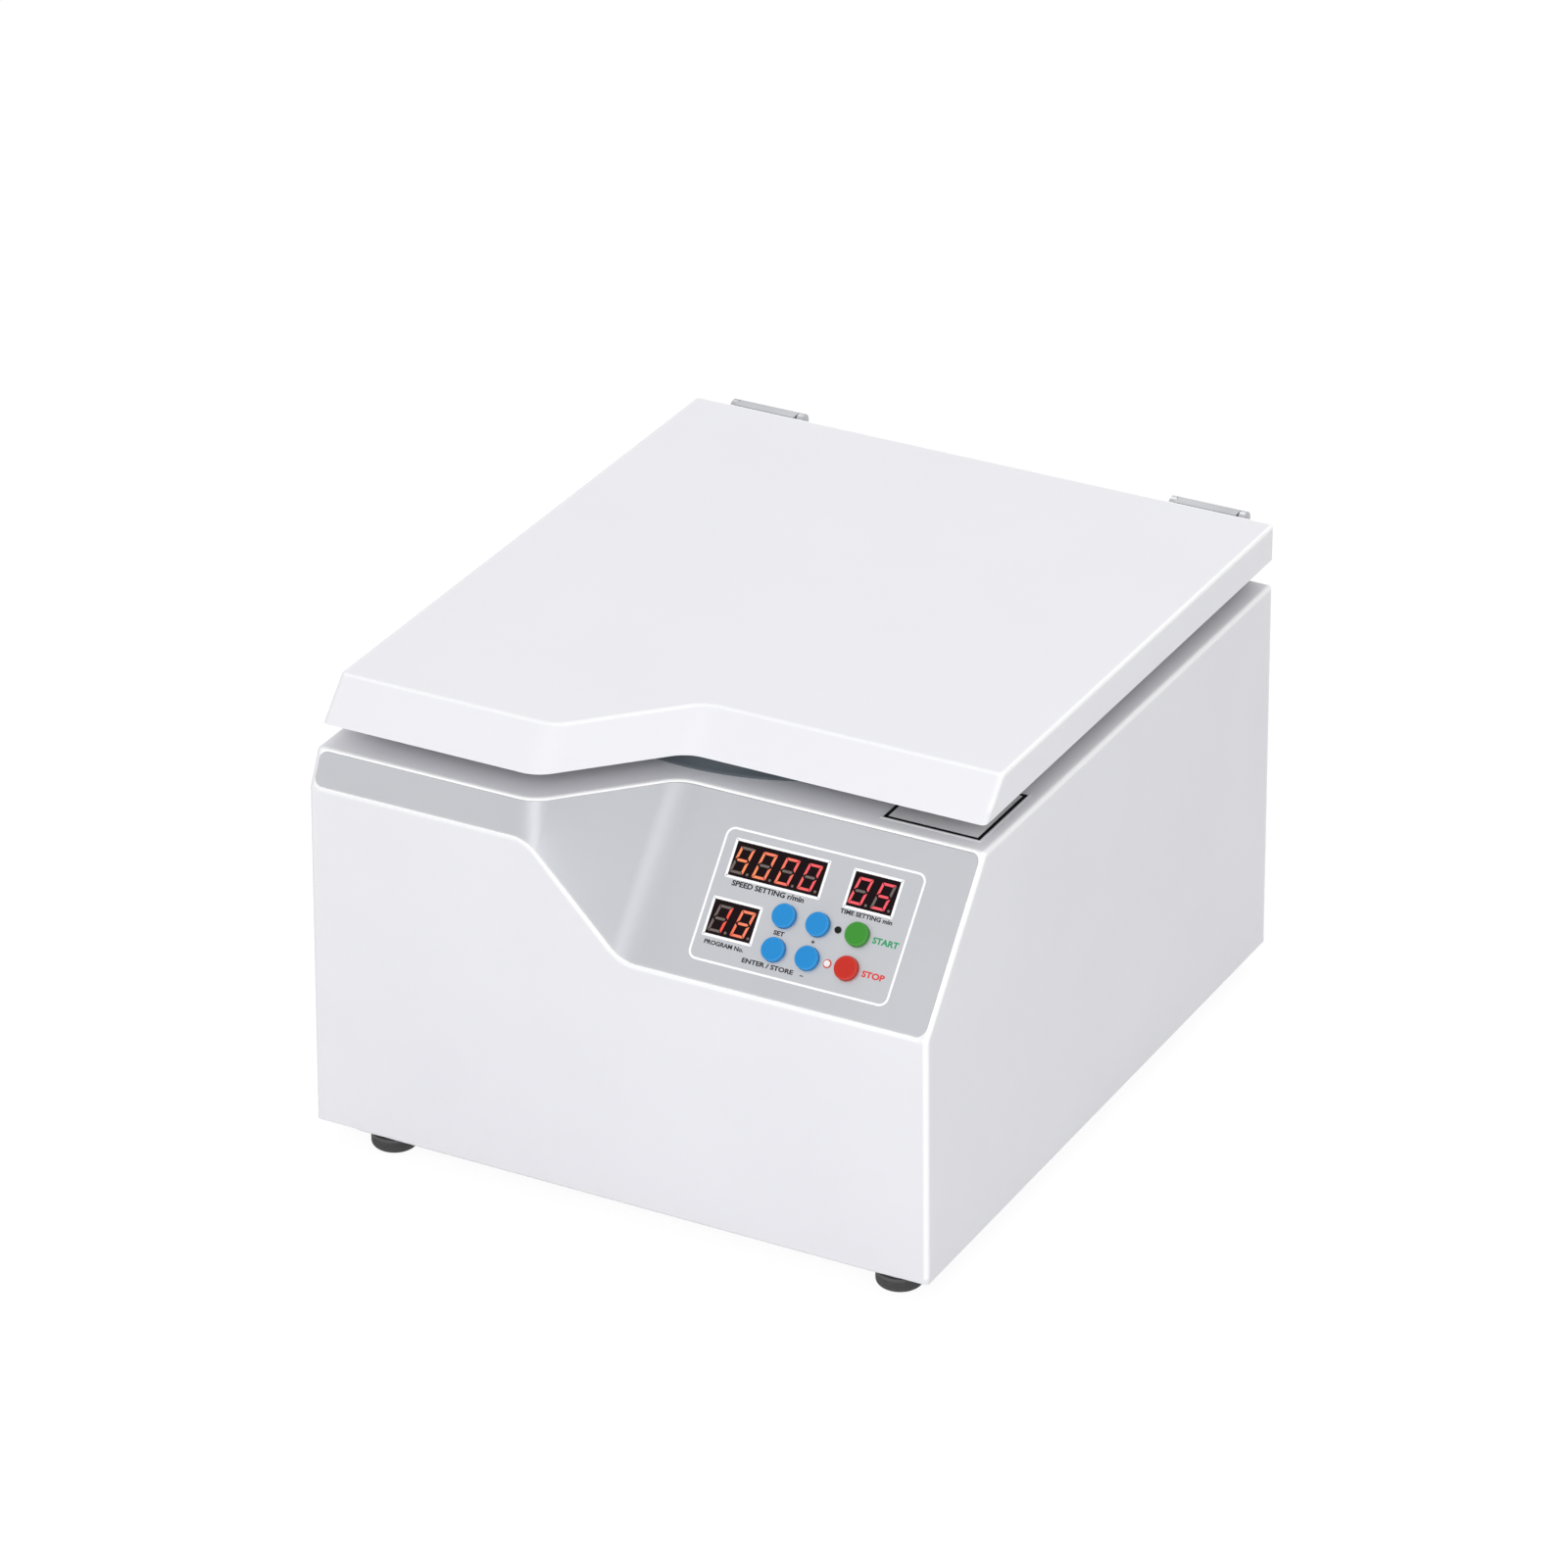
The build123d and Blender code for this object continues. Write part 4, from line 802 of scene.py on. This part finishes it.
# Each segment's bar, its place in mm and its turn in degrees
SEGMENT_PLACES = {
    "a": (across, 0, half_height, 0),
    "b": (upright, half_width, upright_y, -90),
    "c": (upright, half_width, -upright_y, -90),
    "d": (across, 0, -half_height, 180),
    "e": (upright, -half_width, -upright_y, 90),
    "f": (upright, -half_width, upright_y, 90),
    "g": (centre_bar, 0, 0, 0),
}
slanted = Matrix(((1, SLANT, 0, 0), (0, 1, 0, 0), (0, 0, 1, 0), (0, 0, 0, 1)))


def digits(name, text, middle_x, middle_up, glow):
    """A row of digits on its display: the lit bars, and the dark bars and points."""
    lit = []
    dark = []
    for place, figure in enumerate(text):
        x = (place - (len(text) - 1) / 2) * DIGIT_PITCH
        spot = Matrix.Translation((x * MM, 0, 0)) @ slanted
        for key, (bar, bar_x, bar_y, turn) in SEGMENT_PLACES.items():
            move = Matrix.Translation((bar_x * MM, bar_y * MM, 0))
            turned = Matrix.Rotation(math.radians(turn), 4, "Z")
            made = copy_of(bar, f"{name}_{place}{key}", spot @ move @ turned)
            (lit if key in LIT[figure] else dark).append(made)
        foot = Matrix.Translation(((x + DIGIT_PITCH * POINT_SHARE) * MM, -half_height * MM, 0))
        dark.append(copy_of(point, f"{name}_{place}p", foot))
    place = on_panel(middle_x, middle_up, DISPLAY_FACE)
    put(joined(f"{name}_digits", lit), place, glow, "base")
    put(joined(f"{name}_dark_bars", dark), place, dark_segment, "base")


digits("speed", "4000", 69.8, 66.0, speed_glow)
digits("time", "05", 124.0, 65.5, time_glow)
digits("program", "18", 55.4, 34.7, program_glow)
for spare in (across, upright, centre_bar, point):
    bpy.data.objects.remove(spare)

# White print on the film: the frame round the controls and one round each display.
# Each has its width, height, corner, line, corner steps, and its middle's x and up, in mm
for name, width, height, corner, line, steps, x, up in (
    ("panel_print_frame", 112.4, 70.2, 5.0, 1.15, 10, 93.8, 46.8),
    ("speed_border", 53.6, 20.8, 0.5, 1.35, 3, 70.8, 66.4),
    ("time_border", 28.0, 20.8, 0.5, 1.35, 3, 124.7, 65.9),
    ("program_border", 28.0, 20.8, 0.5, 1.35, 3, 55.8, 35.1),
):
    frame_print = printed_frame(name, width, height, corner, line, steps)
    put(frame_print, on_panel(x, up, FILM_FACE), white_ink, "base")

# Generic words on the film: the middle's x and up, and the width and height, in mm
for name, text, x, up, width, height, colour in (
    ("speed_words", "SPEED SETTING r/min", 69.4, 54.0, 40.7, 2.9, grey_ink),
    ("time_words", "TIME SETTING min", 124.8, 53.7, 29.0, 2.4, grey_ink),
    ("program_words", "PROGRAM No.", 55.4, 22.0, 22.1, 2.4, grey_ink),
    ("set_word", "SET", 82.2, 34.8, 6.0, 2.4, grey_ink),
    ("plus_sign", "+", 101.4, 34.8, 2.0, 2.0, grey_ink),
    ("minus_sign", "-", 101.0, 16.8, 1.9, 0.5, grey_ink),
    ("enter_words", "ENTER / STORE", 81.7, 17.3, 28.8, 2.5, grey_ink),
    ("start_word", "START", 139.2, 43.2, 14.4, 3.4, green_ink),
    ("stop_word", "STOP", 138.2, 25.6, 12.6, 3.4, red_ink),
):
    put(words(name, text, width, height), on_panel(x, up, FILM_FACE), colour, "base")

# Red ring round the lower lamp, and the black border on the label's sheet
RING_WIDTH = 4.6
LABEL_SHEET = 0.3
LABEL_PRINT = 0.05
ring = printed_frame("stop_lamp_ring", RING_WIDTH, RING_WIDTH, corner=2.25, line=0.5, steps=8)
put(ring, on_panel(112.4, 26.0, FILM_FACE), red_ink, "base")
border = printed_frame(
    "deck_label_border", 54.0, 54.5, corner=0.2, line=2.0, steps=2, thickness=LABEL_PRINT
)
put(border, on_deck(140.6, -109.3, LABEL_SHEET), black_ink, "base")


# Marks on the power rocker: a bar for on and a ring for off. Its pivot in mm, its tilt at rest
# and the lean of each half are those of the part, and a mark's place is along and out of a half
ROCKER_PIVOT = Vector((48.0, REAR_Y - 2.0, 75.0))
ROCKER_TILT = math.radians(10.0)
ROCKER_LEAN = math.atan2(2.0, 8.0)
MARK_ALONG = 4.0
MARK_OUT = 3.5
MARK_HEIGHT = 3.0
BAR_WIDTH = 0.6
BAR_CORNER = 0.2


def on_rocker(end):
    """Matrix that lays a flat piece on the rocker's upper or lower half, for end 1 or -1."""
    along = Vector((0, math.sin(ROCKER_TILT), math.cos(ROCKER_TILT)))
    face = Vector((0, math.cos(ROCKER_TILT), -math.sin(ROCKER_TILT)))
    spot = (ROCKER_PIVOT + along * MARK_ALONG * end + face * MARK_OUT) * MM
    outward = face * math.cos(ROCKER_LEAN) - along * end * math.sin(ROCKER_LEAN)
    return laid((-X_AXIS, outward.cross(-X_AXIS), outward), spot)


bar = flat_blank("rocker_on_mark", BAR_WIDTH, MARK_HEIGHT)
bpy.ops.object.mode_set(mode="EDIT")
bpy.ops.mesh.select_all(action="SELECT")
bpy.ops.mesh.bevel(offset=BAR_CORNER * MM, affect="VERTICES", segments=3)
thicken(PRINT)
bpy.ops.object.mode_set(mode="OBJECT")
put(bar, on_rocker(1), white_ink, "power_rocker")
circle = printed_frame(
    "rocker_off_mark", MARK_HEIGHT, MARK_HEIGHT, corner=1.45, line=0.55, steps=8
)
put(circle, on_rocker(-1), white_ink, "power_rocker")

# Plain numbers on the yoke's arms, beside each bucket. The figure 1 is narrow
ARM_TOP = 209.0
ARM_REACH = 66.0
FIGURE_HEIGHT = 5.6
WIDE_FIGURE = 3.7
NARROW_FIGURE = 1.6
quarter_turn = Matrix.Rotation(math.radians(90), 4, "Z")
for number in BUCKET_NUMBERS:
    turn = Matrix.Rotation(math.radians(90 * (number - 1) + 45), 4, "Z")
    hub = Matrix.Translation(Vector((0, SHAFT_Y, ARM_TOP)) * MM)
    spot = hub @ turn @ Matrix.Translation((ARM_REACH * MM, 0, 0)) @ quarter_turn
    width = NARROW_FIGURE if number == 1 else WIDE_FIGURE
    figure = words(f"arm_number_{number}", str(number), width, FIGURE_HEIGHT)
    put(figure, spot, black_ink, "rotor")


# The photograph's camera, from a fit to the case's edges: its place in metres, its turn round
# the object, its rise and its roll in degrees, and its focal length in pixels of the photograph
CAMERA_PLACE = (1.58072, -3.01226, 1.93887)
CAMERA_ANGLES = (27.906, 27.650, -0.043)
FOCAL_PIXELS = 7462.68
PHOTO_PIXELS = 1600
SENSOR_WIDTH = 36.0


def photo_camera():
    """Makes the photograph's camera and uses it."""
    lens = bpy.data.cameras.new("photo_camera")
    lens.sensor_width = SENSOR_WIDTH
    lens.lens = FOCAL_PIXELS / PHOTO_PIXELS * SENSOR_WIDTH
    lens.clip_start = 0.1
    lens.clip_end = 50.0
    camera = bpy.data.objects.new("photo_camera", lens)
    bpy.context.scene.collection.objects.link(camera)
    turn, rise, roll = (math.radians(angle) for angle in CAMERA_ANGLES)
    right = Vector((math.cos(turn), math.sin(turn), 0))
    level = Vector((math.sin(turn), -math.cos(turn), 0))
    back = level * math.cos(rise) + Vector((0, 0, math.sin(rise)))
    looking = laid((right, back.cross(right), back), CAMERA_PLACE)
    camera.matrix_world = looking @ Matrix.Rotation(roll, 4, "Z")
    bpy.context.scene.camera = camera


def area_lamp(name, place, target, width, power, mirrored=True, lighting=True):
    """Soft square lamp, in metres and watts, that points at a target.

    It may be left out of reflections, or show in them alone.
    """
    data = bpy.data.lights.new(name, "AREA")
    data.shape = "RECTANGLE"
    data.size = width
    data.size_y = width
    data.energy = power
    lamp = bpy.data.objects.new(name, data)
    bpy.context.scene.collection.objects.link(lamp)
    lamp.location = place
    lamp.visible_glossy = mirrored
    lamp.visible_diffuse = lighting
    lamp.rotation_euler = (Vector(target) - Vector(place)).to_track_quat("-Z", "Y").to_euler()


def seen_directly(tree):
    """1 for camera, glossy and transmission rays, 0 for the rays that light the object."""
    path = add(tree, "ShaderNodeLightPath")
    first = calculate(tree, "MAXIMUM", path.outputs["Is Camera Ray"], path.outputs["Is Glossy Ray"])
    return calculate(tree, "MAXIMUM", first, path.outputs["Is Transmission Ray"])


def swapped(tree, output_kind, lighting, seen):
    """Gives a tree one shader for the rays that light the object and one that is seen."""
    mix = add(tree, "ShaderNodeMixShader")
    tree.links.new(seen_directly(tree), mix.inputs[0])
    tree.links.new(lighting.outputs[0], mix.inputs[1])
    tree.links.new(seen.outputs[0], mix.inputs[2])
    output = add(tree, output_kind)
    tree.links.new(mix.outputs[0], output.inputs["Surface"])


def grey(level):
    """Opaque grey of one level."""
    return (level, level, level, 1)


# The floor has one grey that lights the object. It is seen as white light and a fainter grey,
# on which the shadow shows
WORLD_STRENGTH = 0.70
FLOOR_SIZE = 12.0
FLOOR_GREY = 0.85
FLOOR_SHADOW = 0.12
FLOOR_WHITE = 0.92


def white_world():
    """Surroundings that are seen as pure white, and light the object less strongly."""
    world = bpy.data.worlds.new("studio")
    bpy.context.scene.world = world
    world.use_nodes = True
    tree = world.node_tree
    tree.nodes.clear()
    light = add(tree, "ShaderNodeBackground")
    light.inputs["Color"].default_value = grey(1)
    light.inputs["Strength"].default_value = WORLD_STRENGTH
    seen = add(tree, "ShaderNodeBackground")
    seen.inputs["Color"].default_value = grey(1)
    swapped(tree, "ShaderNodeOutputWorld", light, seen)


def white_floor():
    """Floor that is seen as almost white light, with a faint shadow on it."""
    bpy.ops.mesh.primitive_plane_add(size=FLOOR_SIZE)
    floor = shape_of("floor")
    material = bpy.data.materials.new("white floor")
    material.use_nodes = True
    tree = material.node_tree
    tree.nodes.clear()
    plain = add(tree, "ShaderNodeBsdfDiffuse")
    plain.inputs["Color"].default_value = grey(FLOOR_GREY)
    faint = add(tree, "ShaderNodeBsdfDiffuse")
    faint.inputs["Color"].default_value = grey(FLOOR_SHADOW)
    white = add(tree, "ShaderNodeEmission")
    white.inputs["Strength"].default_value = FLOOR_WHITE
    both = add(tree, "ShaderNodeAddShader")
    tree.links.new(faint.outputs[0], both.inputs[0])
    tree.links.new(white.outputs[0], both.inputs[1])
    swapped(tree, "ShaderNodeOutputMaterial", plain, both)
    floor.data.materials.append(material)


white_world()
white_floor()
area_lamp("front_lamp", (1.05, -2.6, 1.6), (0, 0, 0.12), width=1.6, power=38.0, mirrored=False)
area_lamp("top_lamp", (-0.3, 1.5, 2.6), (0, 0, 0.2), width=1.8, power=17.5)
area_lamp("sheen_lamp", (0.9, -2.6, 1.57), (0, 0, 0.2), width=1.0, power=7.0, lighting=False)
photo_camera()
bpy.context.scene.view_settings.view_transform = "Standard"
